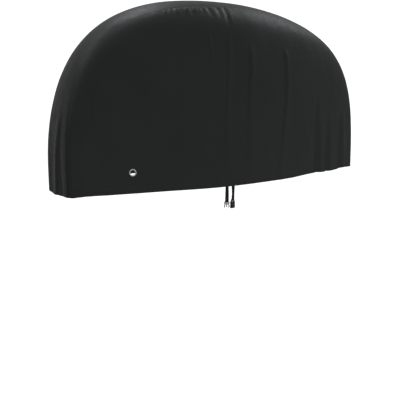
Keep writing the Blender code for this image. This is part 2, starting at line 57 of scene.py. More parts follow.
# Fine cloth. A panel's grid has more columns and rows near some places: how many more, and how wide
CLOTH = 0.0009
COVER_MIDDLE = (0.0, 0.0, -0.5)
CUT_EDGE_DEGREES = 60.0
PANEL_COLUMNS = 440
PANEL_ROWS = 96
FOLD_COLUMNS_MORE = (1.6, 0.035)
PUCKER_COLUMNS_MORE = (0.9, 0.030)
EDGE_COLUMNS_MORE = (1.5, 0.030)
PANEL_ROWS_MORE = ((0.0, 3.0, 0.03), (1.0, 2.4, 0.06), (0.11, 1.2, 0.04))
GUSSET_STATIONS = 560
GUSSET_ACROSS = 44
HEM_STITCH_HEIGHT = 0.018
HEM_BAND = {"proud": 0.0007, "edge": (-0.003, 0.001), "pulled": 0.0008, "pulled_half": 0.005}
HEM_GATHERS = {"fade": (0.010, 0.110), "fine": 0.0004, "fine_fade": (0.015, 0.035)}
SEAM_ALLOWANCE = {"width": 0.010, "proud": 0.00018}
SEAM_GROOVE = {"half": 0.0025, "depth": 0.00005}

# Stitches: distance between two, half length, half width and height of one, and the rows
STITCH = {"pitch": 0.0042, "half_length": 0.0015, "half_width": 0.00030, "height": 0.00028}
SEAM_STITCH_OFFSET = 0.0055
TACK_HEIGHTS = (0.0055, 0.0120)
TACK_HALF_WIDTH = 0.0085
BOX_STITCH = {"low": 0.0085, "high": 0.0235, "half_width": 0.0072}
BOX_PITCH = 0.0036

# Folds of a side panel. Each follows a line through three points, given as the share of the
# panel's height and the column there, with the fold's strength at each point; a narrow trough of
# this half width and depth has a rounder ridge beside it, towards the rear
FOLD = "heights columns strengths half depth ridge ridge_half fade"
NEAR_FOLDS = table(
    FOLD,
    ((0.43, 0.54, 0.66), (-0.960, -0.965, -0.974), (0.2, 0.9, 1.0), 0.006, 0.0022, 0.0014, 0.010, 0.07),
    ((0.38, 0.52, 0.64), (-0.908, -0.914, -0.924), (0.1, 0.8, 1.0), 0.007, 0.0022, 0.0028, 0.012, 0.07),
    ((-0.1, 0.20, 0.46), (-0.972, -0.970, -0.966), (1.0, 0.8, 0.3), 0.010, 0.0020, 0.0018, 0.016, 0.07),
    ((-0.1, 0.15, 0.36), (-0.866, -0.870, -0.874), (1.0, 0.9, 0.4), 0.016, 0.0008, 0.0022, 0.020, 0.07),
    ((0.68, 0.77, 0.88), (-0.308, -0.316, -0.350), (0.5, 1.0, 0.7), 0.007, 0.0012, 0.0034, 0.012, 0.07),
    ((0.10, 0.50, 0.84), (-0.210, -0.206, -0.202), (0.4, 0.8, 1.0), 0.008, 0.0012, 0.0048, 0.014, 0.07),
    ((0.05, 0.55, 0.80), (-0.062, -0.060, -0.052), (0.2, 0.9, 1.0), 0.008, 0.0015, 0.0085, 0.020, 0.06),
    ((-0.1, 0.52, 0.80), (0.160, 0.236, 0.232), (0.3, 0.9, 1.0), 0.008, 0.0020, 0.0095, 0.019, 0.06),
    ((0.08, 0.26, 0.42), (0.445, 0.430, 0.372), (0.5, 1.0, 0.5), 0.012, 0.0030, 0.0046, 0.017, 0.10),
    ((-0.1, 0.28, 0.60), (0.574, 0.563, 0.545), (1.1, 0.8, 0.15), 0.015, 0.0115, 0.0060, 0.022, 0.18),
    ((-0.1, 0.20, 0.50), (0.686, 0.686, 0.668), (1.1, 0.8, 0.15), 0.014, 0.0100, 0.0055, 0.020, 0.18),
    ((-0.1, 0.30, 0.56), (0.856, 0.846, 0.838), (1.1, 0.8, 0.15), 0.014, 0.0095, 0.0052, 0.016, 0.18),
)
FAR_FOLDS = table(
    FOLD,
    ((-0.1, 0.25, 0.52), (-0.858, -0.852, -0.842), (1.0, 0.8, 0.4), 0.011, 0.0036, 0.0030, 0.020, 0.12),
    ((-0.1, 0.35, 0.74), (-0.404, -0.396, -0.376), (0.6, 0.8, 1.0), 0.009, 0.0042, 0.0034, 0.018, 0.12),
    ((0.10, 0.50, 0.88), (0.116, 0.108, 0.090), (0.3, 0.7, 1.0), 0.008, 0.0046, 0.0036, 0.016, 0.12),
    ((-0.1, 0.32, 0.66), (0.562, 0.556, 0.540), (0.9, 1.0, 0.5), 0.010, 0.0044, 0.0032, 0.020, 0.12),
    ((-0.1, 0.26, 0.52), (0.816, 0.810, 0.800), (1.0, 0.8, 0.4), 0.010, 0.0034, 0.0026, 0.018, 0.12),
)

# Puckers where the near panel is eased into the top seam: column at the seam, how far they lean
# to the rear over their length down the panel, half width and depth
PUCKER = "column lean length half depth"
NEAR_PUCKERS = table(
    PUCKER,
    (-0.420, 0.000, 0.065, 0.150, -0.0040),
    (-0.612, 0.004, 0.044, 0.012, 0.0010),
    (-0.576, 0.006, 0.052, 0.012, 0.0016),
    (-0.540, 0.006, 0.070, 0.014, 0.0026),
    (-0.502, -0.004, 0.048, 0.010, 0.0014),
    (-0.468, -0.004, 0.082, 0.017, 0.0026),
    (-0.404, -0.008, 0.084, 0.014, 0.0030),
    (-0.362, 0.000, 0.050, 0.009, 0.0016),
    (-0.334, 0.006, 0.066, 0.012, 0.0024),
    (-0.283, 0.010, 0.104, 0.016, 0.0036),
    (-0.206, -0.014, 0.104, 0.016, 0.0034),
    (-0.148, -0.032, 0.160, 0.014, 0.0046),
)
FAR_PUCKERS = table(
    PUCKER,
    (-0.300, 0.012, 0.044, 0.010, 0.0022),
    (-0.255, 0.014, 0.048, 0.010, 0.0026),
    (0.180, -0.012, 0.046, 0.010, 0.0024),
    (0.225, -0.012, 0.040, 0.010, 0.0020),
)

# How far the hem lies above its level line at these columns; it fades out up the panel
HEM_LIFT = "column half lift"
NEAR_HEM_LIFTS = table(
    HEM_LIFT,
    (-1.00, 0.08, -0.0056),
    (-0.25, 0.32, -0.003),
    (0.50, 0.22, 0.006),
    (0.90, 0.07, 0.004),
)
FAR_HEM_LIFTS = table(
    HEM_LIFT,
    (-1.00, 0.08, -0.002),
    (-0.44, 0.25, 0.020),
    (0.40, 0.30, 0.006),
)
HEM_LIFT_REACH = 0.5
FRONT_HEM_LIFT = {"across": (-1.0, -0.5, 0.0, 0.4, 0.7, 1.0),
                  "lifts": (-0.0056, -0.0070, -0.0085, -0.0115, -0.0060, -0.0020)}

# Folds down the gusset's ends. Each follows a line through three points, given as the rise of the
# arch and the share across the gusset there; a depth below 0 is a ridge
GUSSET_FOLDS = table(
    "end rises across strengths half depth",
    (-1, (-0.1, 0.20, 0.48), (0.30, 0.06, -0.34), (1.0, 1.0, 0.5), 0.20, -0.0050),
    (-1, (-0.1, 0.20, 0.48), (-0.42, -0.33, -0.50), (1.0, 1.0, 0.5), 0.16, 0.0022),
    (1, (-0.1, 0.25, 0.52), (-0.50, -0.47, -0.40), (1.0, 0.9, 0.5), 0.12, 0.0060),
    (1, (-0.1, 0.25, 0.56), (0.40, 0.44, 0.40), (1.0, 0.9, 0.5), 0.11, 0.0060),
)

# The shell's upright corners, by end and side, are rounded in plan over this length of cloth to
# each side; the rounding fades out between two heights. The hem flares at the rear near corner, and
# the cloth is full beside the end seams
CORNER_REACH = {(-1.0, -1.0): 0.075, (-1.0, 1.0): 0.018, (1.0, -1.0): 0.003, (1.0, 1.0): 0.018}
CORNER_FADE = (0.20, 0.55)
CORNER_STEP = 0.003
HEM_FLARE = {"along": 0.0055, "across": -0.0040, "reach": 0.08, "fade": 0.32}
FULL_CLOTH = {"height": 0.0012, "at": 0.022, "half": 0.011, "seam": 0.0010, "seam_half": 0.006,
              "fade": (0.35, 0.62)}

# Seeded unevenness of the cloth: its height, its waves along and up the cloth, and its own seed
UNEVEN = "height along up seed"
PANEL_UNEVEN = table(
    UNEVEN,
    (0.0016, 3.2, 1.1, 0.0),
    (0.0009, 11.0, 3.0, 1.0),
    (0.00022, 42.0, 22.0, 2.0),
)
GUSSET_UNEVEN = table(
    UNEVEN,
    (0.0012, 3.0, 1.2, 0.0),
    (0.0006, 9.0, 4.0, 1.0),
    (0.00018, 40.0, 12.0, 2.0),
)
SEAM_PINCH = 0.0004
SEAM_PINCH_AT = 0.010
GATHERED = {"side": 0.0006, "ends": 0.0022, "gusset": 0.0018}
NEAR_SEED = 11.0
FAR_SEED = 27.0
GUSSET_SEED = 41.0

# Eyelet, webbing and buckle, as the solids have them
EYELET_COLUMN = -0.701
EYELET = {"hole": 0.0130, "barrel": 0.0141, "flange": 0.0180, "thick": 0.0013, "sides": 72}
EYELET_BOX_OFFSET = 0.0006
EYELET_SEAT = {"reach": 0.036, "dimple": 0.0007, "dimple_half": 0.006}
CLOTH_HOLE_RADIUS = 0.0150
WEBBING = {"width": 0.020, "thickness": 0.0015, "tuck": 0.030, "tail": 0.026}
LEFT_STRAP = {"x": -0.179, "turn_deg": -22.0, "hang": 0.087}
RIGHT_STRAP = {"x": -0.140, "turn_deg": 10.0, "hang": 0.081}
TURN_STARTS = -0.004
TURN_ENDS = -0.050
PIECE_GAP = 0.0004
RIB_PITCH = 0.0013
RIB_DEPTH = 0.00010
BAR_HALF_DEPTH = 0.0020
BAR_HALF_HEIGHT = 0.0012
SLOT_HEIGHT = 0.0046
SLOT_HALF_WIDTH = 0.0107
FRAME_HALF_WIDTH = 0.0148
FRAME_CORNER = 0.0015
FRAME_BOTTOM = -0.0118
PLUG_ARM = {"root": 0.0122, "barb": 0.0166, "barb_height": -0.0262, "notch": 0.0130,
            "tip": 0.0112, "inside": 0.0076}
PLUG_TIP = -0.0330
TONGUE_HALF_WIDTH = 0.0026
SOCKET_TOP = -0.0066
SOCKET_BOTTOM = -0.0430
SOCKET_HALF_DEPTH = 0.0056
SOCKET_WAIST = {"height": -0.0225, "half_width": 0.0132, "half_height": 0.0060}
CAVITY = {"half_width": 0.0118, "half_depth": 0.0032, "top": -0.0150}
WINDOW = {"top": -0.0185, "bottom": -0.0285, "half_depth": 0.0024}
SOCKET_ROUNDING = 0.0014
EDGE_ROUNDING = 0.0005
SHARP_DEGREES = 35.0

# Threads of the weaves, and the colour of rubbed cloth
CLOTH_WEAVE = 0.00055
WEBBING_WEAVE = 0.0009
WORN_CLOTH = (0.019, 0.0195, 0.019, 1.0)

# Camera and light
CAMERA_PLACE = (-1.999, -2.651, -0.482)
CAMERA_AZIMUTH = 35.06
CAMERA_DOWN = 11.03
CAMERA_LENS = 50.42
STAGE = {"height": -2.10, "radius": 7.0, "fillet": 2.5, "top": 8.0, "sides": 96}
SOFTBOXES = table(
    "place size turn_deg watts",
    ((3.6, 0.4, 2.6), (3.2, 1.5), -8.0, 27.0),
    ((-0.15, 1.5, 2.6), (1.2, 2.0), -12.0, 19.5),
    ((-2.45, 1.2, 2.1), (2.2, 1.7), -12.0, 13.5),
)
SOFTBOX_COLOUR = (0.96, 0.98, 1.03)
FLOOR_GLOW = 0.75
WORLD_LEVELS = ((0.0, 0.80), (0.30, 0.46), (0.50, 0.35), (0.62, 0.40), (0.80, 0.40), (1.0, 0.40))
SCREENS = table(
    "azimuth_deg up_deg edge level",
    (140.0, -32.0, (0.85, 0.955), 0.18),
    (12.0, -12.0, (0.84, 0.97), 0.52),
    (-52.0, -12.0, (0.86, 0.98), 1.14),
    (60.0, 6.0, (0.90, 0.985), 0.70),
)


def smooth_step(value, low, high):
    share = np.clip((value - low) / (high - low), 0.0, 1.0)
    return share * share * (3.0 - 2.0 * share)


def trough(distance, half):
    """A soft bump of height 1, half wide to each side."""
    near = np.abs(distance) < half
    return np.where(near, 0.5 + 0.5 * np.cos(math.pi * distance / half), 0.0)


def bell(distance, half):
    """A bump of height 1 that fades out on both sides."""
    return np.exp(-(distance / half) ** 2)


def mileage_of(path):
    """The distance of each point of a path from its first one, along the path."""
    steps = np.linalg.norm(np.diff(path, axis=0), axis=-1)
    return np.concatenate([[0.0], np.cumsum(steps)])


def spread_marks(ruler, extras, count):
    """Places on the ruler, closer together near some: rows of place, how much and half width."""
    density = 1.0 + sum(more * bell(ruler - place, half) for place, more, half in extras)
    mileage = np.concatenate([[0.0], np.cumsum(0.5 * (density[1:] + density[:-1]))])
    return np.interp(np.linspace(0.0, mileage[-1], count), mileage, ruler)


# The shell's surface

def arch_powers(x):
    run = np.where(x < 0, FRONT_ARCH["run"], REAR_ARCH["run"])
    rise = np.where(x < 0, FRONT_ARCH["rise"], REAR_ARCH["rise"])
    return run, rise


def arch_height(x):
    run, rise = arch_powers(x)
    left = np.clip(1.0 - np.abs(x / HALF_LENGTH) ** run, 1e-12, 1.0)
    return HEIGHT * left ** (1.0 / rise)


def arch_reach(rise, end):
    arch = FRONT_ARCH if end < 0 else REAR_ARCH
    left = np.clip(1.0 - np.asarray(rise) ** arch["rise"], 0.0, 1.0)
    return end * HALF_LENGTH * left ** (1.0 / arch["run"])


def half_width(x):
    swell = HALF_WIDTH_MIDDLE - HALF_WIDTH_END
    return HALF_WIDTH_END + swell * (1.0 - np.abs(x / HALF_LENGTH) ** PLAN_POWER)


def half_width_slope(x):
    swell = HALF_WIDTH_MIDDLE - HALF_WIDTH_END
    steep = PLAN_POWER * np.abs(x / HALF_LENGTH) ** (PLAN_POWER - 1.0) / HALF_LENGTH
    return -swell * steep * np.sign(x)


def shell_normals(x, y, height, roof):
    run, rise = arch_powers(x)
    far = np.abs(x / HALF_LENGTH)
    left = np.clip(1.0 - far ** run, 0.0, 1.0)
    width = half_width(x)
    side_pull = left * rise / SECTION_POWER
    end_pull = roof * run * far ** (run - 1.0) * np.sign(x) / HALF_LENGTH
    along = end_pull - side_pull * 2.0 * y * y * half_width_slope(x) / width ** 3
    across = side_pull * 2.0 * y / width ** 2
    up = np.where(height > 1e-6, roof * rise * left / np.maximum(height, 1e-6), 0.0)
    normals = np.stack([along, across, up], axis=-1)
    return normals / np.linalg.norm(normals, axis=-1, keepdims=True)


def side_points(x, height, side):
    """Points of the side wall at x and these heights, with their outward normals."""
    roof = np.clip((height / arch_height(x)) ** SECTION_POWER, 0.0, 1.0)
    y = side * half_width(x) * np.sqrt(1.0 - roof)
    return np.stack([x, y, height], axis=-1), shell_normals(x, y, height, roof)


def roof_points(x, rise, share):
    """Points at this signed share of the half width, under an arch that rises so far."""
    roof = 1.0 - share * share
    y = share * half_width(x)
    height = HEIGHT * rise * roof ** (1.0 / SECTION_POWER)
    return np.stack([x, y, height], axis=-1), shell_normals(x, y, height, roof)


def seam_share(rise):
    ease = smooth_step(rise, 0.0, 1.0)
    return SEAM_SHARE_AT_HEM + (SEAM_SHARE_AT_TOP - SEAM_SHARE_AT_HEM) * ease


def seam_height(rise):
    roof = 1.0 - seam_share(rise) ** 2
    return HEIGHT * rise * roof ** (1.0 / SECTION_POWER)


# The rounding of the upright corners

def plan_outline(height, end):
    """Half the shell's outline in plan at one height, from the end's middle round to the side."""
    roof = 10.0 ** np.linspace(0.0, -3.0, 300)
    rise = np.minimum(height / HEIGHT * roof ** (-1.0 / SECTION_POWER), 0.99)
    x = arch_reach(rise, end)
    y = np.sqrt(1.0 - roof) * half_width(x)
    side_x = np.linspace(x[-1], end * 0.4, 300)[1:]
    side, _ = side_points(side_x, np.full_like(side_x, height), 1.0)
    return np.concatenate([x, side_x]), np.concatenate([y, side[:, 1]])


def corner_shifts(height, end, reach, places):
    """How far rounding moves the outline along x and y, at places told by |y| - |x|."""
    x, y = plan_outline(height, end)
    mileage = mileage_of(np.stack([x, y], axis=1))
    marks = np.arange(0.0, mileage[-1], CORNER_STEP)
    outline = np.stack([np.interp(marks, mileage, x), np.interp(marks, mileage, y)], axis=1)
    count = int(round(reach / CORNER_STEP))
    before = outline[count:0:-1] * (1.0, -1.0)
    after = 2.0 * outline[-1] - outline[-2:-count - 2:-1]
    padded = np.concatenate([before, outline, after])
    weights = np.convolve(np.ones(count + 1), np.ones(count + 1)) / (count + 1.0) ** 2
    order = outline[:, 1] - np.abs(outline[:, 0])
    shifts = []
    for axis in (0, 1):
        moved = np.convolve(padded[:, axis], weights, mode="valid") - outline[:, axis]
        shifts.append(np.interp(places, order, moved))
    return shifts


def rounded_in_plan(points):
    """The points, moved inward at the upright corners and out where the rear hem flares."""
    result = points.copy()
    heights = np.linspace(0.004, CORNER_FADE[1], 14)
    places = np.linspace(-1.0, -0.3, 351)
    for (end, side), reach in CORNER_REACH.items():
        shifts = np.array([corner_shifts(height, end, reach, places) for height in heights])
        chosen = (points[..., 0] * end > 0.0) & (points[..., 1] * side >= 0.0)
        x, y, height = points[chosen].T
        level = (np.clip(height, heights[0], heights[-1]) - heights[0]) / (heights[1] - heights[0])
        below = np.minimum(level.astype(int), len(heights) - 2)
        share = level - below
        around = np.abs(y) - np.abs(x)
        fade = 1.0 - smooth_step(height, *CORNER_FADE)
        for axis, sign in ((0, 1.0), (1, side)):
            rows = np.array([np.interp(around, places, row) for row in shifts[:, axis]])
            lines = np.arange(len(around))
            shift = rows[below, lines] * (1.0 - share) + rows[below + 1, lines] * share
            result[chosen, axis] += sign * fade * shift
    corner_y = -SEAM_SHARE_AT_HEM * HALF_WIDTH_END
    away = np.hypot(points[..., 0] - HALF_LENGTH, points[..., 1] - corner_y)
    flare = bell(away, HEM_FLARE["reach"])
    flare = flare * (1.0 - smooth_step(points[..., 2], 0.0, HEM_FLARE["fade"]))
    result[..., 0] += HEM_FLARE["along"] * flare
    result[..., 1] += HEM_FLARE["across"] * flare
    return result


def full_cloth(to_seam, height):
    """The cloth stands full beside an end's seam, and the seam is drawn in."""
    full = FULL_CLOTH["height"] * bell(to_seam - FULL_CLOTH["at"], FULL_CLOTH["half"])
    drawn = FULL_CLOTH["seam"] * bell(to_seam, FULL_CLOTH["seam_half"])
    return (full - drawn) * (1.0 - smooth_step(height, *FULL_CLOTH["fade"]))


# Seeded unevenness

def soft_noise(along, up, seed):
    """Smooth noise between about -1 and 1 over two arrays of coordinates."""
    flat = [noise.noise(Vector((a, b, seed))) for a, b in zip(along.ravel(), up.ravel())]
    return np.array(flat).reshape(along.shape)


def uneven(along, up, layers, seed):
    """The sum of these layers of noise."""
    return sum(layer["height"] * soft_noise(along * layer["along"], up * layer["up"],
                                            seed + layer["seed"]) for layer in layers)


def seam_pinch(to_seam, along, up, seed):
    """Small waves of the cloth just beside a seam."""
    wave = soft_noise(along, up, seed + 8.0)
    return SEAM_PINCH * wave * trough(to_seam - SEAM_PINCH_AT, SEAM_PINCH_AT)


# Side panels

def fold_relief(columns, shares, folds):
    relief = np.zeros_like(columns)
    for fold in folds:
        low, _, high = fold["heights"]
        line = np.interp(shares, fold["heights"], fold["columns"])
        phase = 40.0 * fold["columns"][1]
        line = line + 0.0016 * np.sin(15.0 * shares + phase)
        line = line + 0.0009 * np.sin(37.0 * shares - phase)
        along = smooth_step(shares, low, low + 0.10)
        along = along * (1.0 - smooth_step(shares, high - fold["fade"], high))
        along = along * np.interp(shares, fold["heights"], fold["strengths"])
        widen = 1.0 + 0.7 * smooth_step(shares, 0.6, 0.0)
        offset = columns - line
        relief -= fold["depth"] * along * bell(offset, widen * fold["half"])
        beside = offset - widen * (fold["half"] + 0.8 * fold["ridge_half"])
        relief += fold["ridge"] * along * bell(beside, widen * fold["ridge_half"])
    return relief


def pucker_relief(columns, below_seam, puckers):
    relief = np.zeros_like(columns)
    for pucker in puckers:
        down = below_seam / pucker["length"]
        line = pucker["column"] + pucker["lean"] * down
        fade = smooth_step(down, 0.0, 0.18) * (1.0 - smooth_step(down, 0.35, 1.0))
        offset = (columns - line) / pucker["half"]
        relief -= pucker["depth"] * fade * bell(offset, 1.0)
        relief += 0.35 * pucker["depth"] * fade * bell(offset - 1.9, 1.1)
    return relief


def edge_wear(distance, along, up, seed):
    """How rubbed the cloth is, from 0 to 1: most at its edges, in patches."""
    patchy = 0.5 + 0.5 * soft_noise(along * 30.0, up * 30.0, seed + 12.0)
    return np.clip(bell(distance, 0.004) * patchy, 0.0, 1.0)


def seam_groove(to_seam):
    return SEAM_GROOVE["depth"] * trough(to_seam, SEAM_GROOVE["half"])


def seam_allowance(to_seam):
    """The folded cloth behind a seam lifts it a little; the seam itself is drawn in."""
    lift = 1.0 - smooth_step(to_seam, 0.6 * SEAM_ALLOWANCE["width"], SEAM_ALLOWANCE["width"])
    lift = lift * smooth_step(to_seam, 0.0, 0.003)
    return SEAM_ALLOWANCE["proud"] * lift - seam_groove(to_seam)


def hem_band(height):
    """The folded hem is a little proud of the cloth, and pulled in along its stitches."""
    above = height - HEM_STITCH_HEIGHT
    proud = HEM_BAND["proud"] * (1.0 - smooth_step(above, *HEM_BAND["edge"]))
    return proud - HEM_BAND["pulled"] * trough(above, HEM_BAND["pulled_half"])


def hem_gathers(along, height, strength, seed):
    """Short waves of the hem, stronger where it is gathered, fading out above the stitches."""
    wave = soft_noise(along * 46.0, height * 6.0, seed)
    fine = soft_noise(along * 120.0, height * 12.0, seed + 3.0)
    wave_fade = 1.0 - smooth_step(height, *HEM_GATHERS["fade"])
    fine_fade = 1.0 - smooth_step(height, *HEM_GATHERS["fine_fade"])
    return strength * wave_fade * wave + HEM_GATHERS["fine"] * fine_fade * fine


def hem_lift(columns, shares, lifts):
    fade = 1.0 - smooth_step(shares, 0.0, HEM_LIFT_REACH)
    return sum(row["lift"] * fade * trough(columns - row["column"], row["half"]) for row in lifts)


def panel_columns(folds, puckers):
    """Columns from -1 to 1, closer together at the folds, the puckers, the ends and the eyelet."""
    extras = [(fold["columns"][1], *FOLD_COLUMNS_MORE) for fold in folds]
    extras += [(pucker["column"], *PUCKER_COLUMNS_MORE) for pucker in puckers]
    extras += [(place, *EDGE_COLUMNS_MORE) for place in (-1.0, 1.0, EYELET_COLUMN)]
    return spread_marks(np.linspace(-1.0, 1.0, 4001), extras, PANEL_COLUMNS)


def rise_of_share(shares):
    ruler = np.linspace(0.0, CORNER_RISE, 2001)
    return np.interp(shares * seam_height(CORNER_RISE), seam_height(ruler), ruler)


def panel_surface(side, form):
    """Fine grid of a side panel, rows from the hem up: points, normals, column and share."""
    marks = panel_columns(form["folds"], form["puckers"])
    shares = spread_marks(np.linspace(0.0, 1.0, 2001), PANEL_ROWS_MORE, PANEL_ROWS)
    columns, share_grid = np.meshgrid(marks, shares)
    rises = rise_of_share(shares)[:, None] * np.ones_like(columns)
    top_x = np.where(columns < 0, np.abs(columns) * arch_reach(CORNER_RISE, -1.0),
                     np.abs(columns) * arch_reach(CORNER_RISE, 1.0))
    x = (1.0 - share_grid) * columns * HALF_LENGTH + share_grid * top_x
    for end in (-1.0, 1.0):
        corner = arch_reach(CORNER_RISE, end)
        straight = (1.0 - share_grid) * end * HALF_LENGTH + share_grid * corner
        nearness = ((1.0 + end * columns) / 2.0) ** 3
        x = x + nearness * (arch_reach(rises, end) - straight)
    height = share_grid * seam_height(arch_height(top_x) / HEIGHT)
    points, normals = side_points(x, height, side)
    for edge, end in ((0, -1.0), (-1, 1.0)):
        edge_rise = rises[:, edge]
        edge_x = arch_reach(edge_rise, end)
        edge_share = side * seam_share(edge_rise)
        points[:, edge], normals[:, edge] = roof_points(edge_x, edge_rise, edge_share)
    edge_x = top_x[-1]
    edge_rise = arch_height(edge_x) / HEIGHT
    points[-1], normals[-1] = roof_points(edge_x, edge_rise, side * seam_share(edge_rise))
    return rounded_in_plan(points), normals, columns, share_grid


def grid_distance(points, axis, from_end):
    """Distance along the grid's rows or columns from its first or last line."""
    steps = np.linalg.norm(np.diff(points, axis=axis), axis=-1)
    lengths = np.cumsum(steps, axis=axis)
    start = np.zeros_like(np.take(lengths, [0], axis=axis))
    lengths = np.concatenate([start, lengths], axis=axis)
    if from_end:
        lengths = np.take(lengths, [-1], axis=axis) - lengths
    return lengths


def edge_fade(distance, reach):
    return smooth_step(distance, 0.0, reach)


def shaped_panel(side, form):
    """The panel's outer face with all its folds; also its distances in metres for the weave."""
    points, normals, columns, shares = panel_surface(side, form)
    below_seam = grid_distance(points, 0, True)
    from_front = grid_distance(points, 1, False)
    from_rear = grid_distance(points, 1, True)
    height = points[..., 2]
    seed = form["seed"]
    relief = fold_relief(columns, shares, form["folds"])
    relief += uneven(columns, shares, PANEL_UNEVEN, seed)
    inside = edge_fade(below_seam, 0.05) * edge_fade(from_front, 0.05) * edge_fade(from_rear, 0.05)
    relief = relief * inside
    relief += pucker_relief(columns, below_seam, form["puckers"])
    gathered = GATHERED["side"] + GATHERED["ends"] * smooth_step(np.abs(columns), 0.80, 0.97)
    relief += hem_gathers(columns, height, gathered, seed + 5.0) * edge_fade(from_front, 0.03) \
        * edge_fade(from_rear, 0.03)
    relief += hem_band(height)
    to_seam = np.minimum(np.minimum(below_seam, from_front), from_rear)
    relief -= seam_groove(to_seam)
    relief += seam_pinch(to_seam, columns * 60.0, shares * 30.0, seed)
    relief += full_cloth(np.minimum(from_front, from_rear), height)
    points = points + normals * relief[..., None]
    points[..., 2] += hem_lift(columns, shares, form["lifts"])
    points[..., 2] -= HEM_DROP
    from_hem = grid_distance(points, 0, False)
    weave = np.stack([from_front, from_hem], axis=-1)
    wear = edge_wear(np.minimum(to_seam, from_hem + 0.002), columns, shares, seed)
    return points, normals, weave, wear


def flat_seat(points, centre, normal, radius, reach):
    """Presses the cloth onto the plane of an eyelet, and a little in around its rim."""
    offset = points - centre
    out = offset @ normal
    distance = np.linalg.norm(offset - out[..., None] * normal, axis=-1)
    hold = 1.0 - smooth_step(distance, radius, reach)
    dimple = EYELET_SEAT["dimple"] * trough(distance - radius, EYELET_SEAT["dimple_half"])
    return points - normal * (hold * out + dimple)[..., None], distance


def sheet_mesh(name, points, weave, wear, kept):
    """A mesh of the grid's faces that are kept, with a map in metres and the wear at each point."""
    rows, columns = points.shape[:2]
    index = np.arange(rows * columns).reshape(rows, columns)
    corners = np.stack([index[:-1, :-1], index[:-1, 1:], index[1:, 1:], index[1:, :-1]], axis=-1)
    faces = corners[kept].reshape(-1, 4)
    used = np.unique(faces)
    renumbered = np.full(rows * columns, -1)
    renumbered[used] = np.arange(len(used))
    faces = renumbered[faces]
    item = new_piece(name, points.reshape(-1, 3)[used].tolist(), faces.tolist())
    layer = item.data.uv_layers.new(name="cloth")
    places = weave.reshape(-1, 2)[used][faces.ravel()]
    layer.data.foreach_set("uv", places.astype(np.float32).ravel())
    worn = item.data.attributes.new("wear", "FLOAT", "POINT")
    worn.data.foreach_set("value", wear.ravel()[used].astype(np.float32))
    return item


def linked(name, data):
    item = bpy.data.objects.new(name, data)
    bpy.context.scene.collection.objects.link(item)
    return item


def new_piece(name, points, faces, material=None):
    """A smooth piece of these points and faces."""
    mesh = bpy.data.meshes.new(name)
    mesh.from_pydata(points, [], faces)
    mesh.shade_smooth()
    if material is not None:
        mesh.materials.append(material)
    return linked(name, mesh)


def ring_faces(first, count):
    """The faces between a ring of points, from this one on, and the ring that follows it."""
    faces = []
    for index in range(count):
        beside = (index + 1) % count
        faces.append((first + index, first + count + index, first + count + beside, first + beside))
    return faces


def piece_of_shape(name, shape):
    """A piece of an edited shape, which is freed."""
    mesh = bpy.data.meshes.new(name)
    shape.to_mesh(mesh)
    shape.free()
    return linked(name, mesh)


def recalculated(mesh):
    """Turns every face outward."""
    shape = bmesh.new()
    shape.from_mesh(mesh)
    bmesh.ops.recalc_face_normals(shape, faces=shape.faces)
    shape.to_mesh(mesh)
    shape.free()


def turned_outward(item, middle):
    """Flips the whole sheet if its faces look towards the middle of the cover."""
    mesh = item.data
    total = sum((face.center - middle).dot(face.normal) * face.area for face in mesh.polygons)
    if total < 0.0:
        mesh.flip_normals()


def thickened(item, thickness):
    """Gives the sheet its thickness, inward, with its cut edges left sharp."""
    change = item.modifiers.new("thickness", "SOLIDIFY")
    change.thickness = thickness
    change.offset = -1.0
    change.use_even_offset = False
    change.use_rim = True
    settled(item)
    item.data.set_sharp_from_angle(angle=math.radians(CUT_EDGE_DEGREES))


def make_cloth(name, surface, kept, material):
    """The cloth of a shaped surface, with its thickness; also the surface's points and normals."""
    points, normals, weave, wear = surface
    item = sheet_mesh(name, points, weave, wear, kept)
    turned_outward(item, Vector(COVER_MIDDLE))
    thickened(item, CLOTH)
    item.data.materials.append(material)
    return item, points, normals


def make_panel(name, side, form, eyelet, material):
    points, *rest = shaped_panel(side, form)
    centre, normal = eyelet
    points, distance = flat_seat(points, centre, normal, EYELET["flange"], EYELET_SEAT["reach"])
    inside = distance < CLOTH_HOLE_RADIUS + 0.001
    corner_in = [inside[:-1, :-1], inside[:-1, 1:], inside[1:, 1:], inside[1:, :-1]]
    kept = ~(corner_in[0] & corner_in[1] & corner_in[2] & corner_in[3])
    rim = inside & (distance > 0.004)
    offset = points - centre
    flat = offset - (offset @ normal)[..., None] * normal
    scale = CLOTH_HOLE_RADIUS / np.maximum(distance, 1e-6)
    points = np.where(rim[..., None], centre + flat * scale[..., None], points)
    return make_cloth(name, (points, *rest), kept, material)


# The gusset

def gusset_path(count):
    """Places along the ridge line from hem to hem, evenly spaced, closer at both hems."""
    rises = np.linspace(0.0, 1.0, 3000) ** 0.9
    front = np.stack([arch_reach(rises, -1.0), rises * HEIGHT], axis=-1)
    rear = np.stack([arch_reach(rises, 1.0), rises * HEIGHT], axis=-1)[::-1]
    path = np.concatenate([front, rear[1:]])
    mileage = mileage_of(path)
    marks = np.linspace(0.0, mileage[-1], count)
    x = np.interp(marks, mileage, path[:, 0])
    height = np.interp(marks, mileage, path[:, 1])
    return x, height / HEIGHT, marks, mileage[-1]


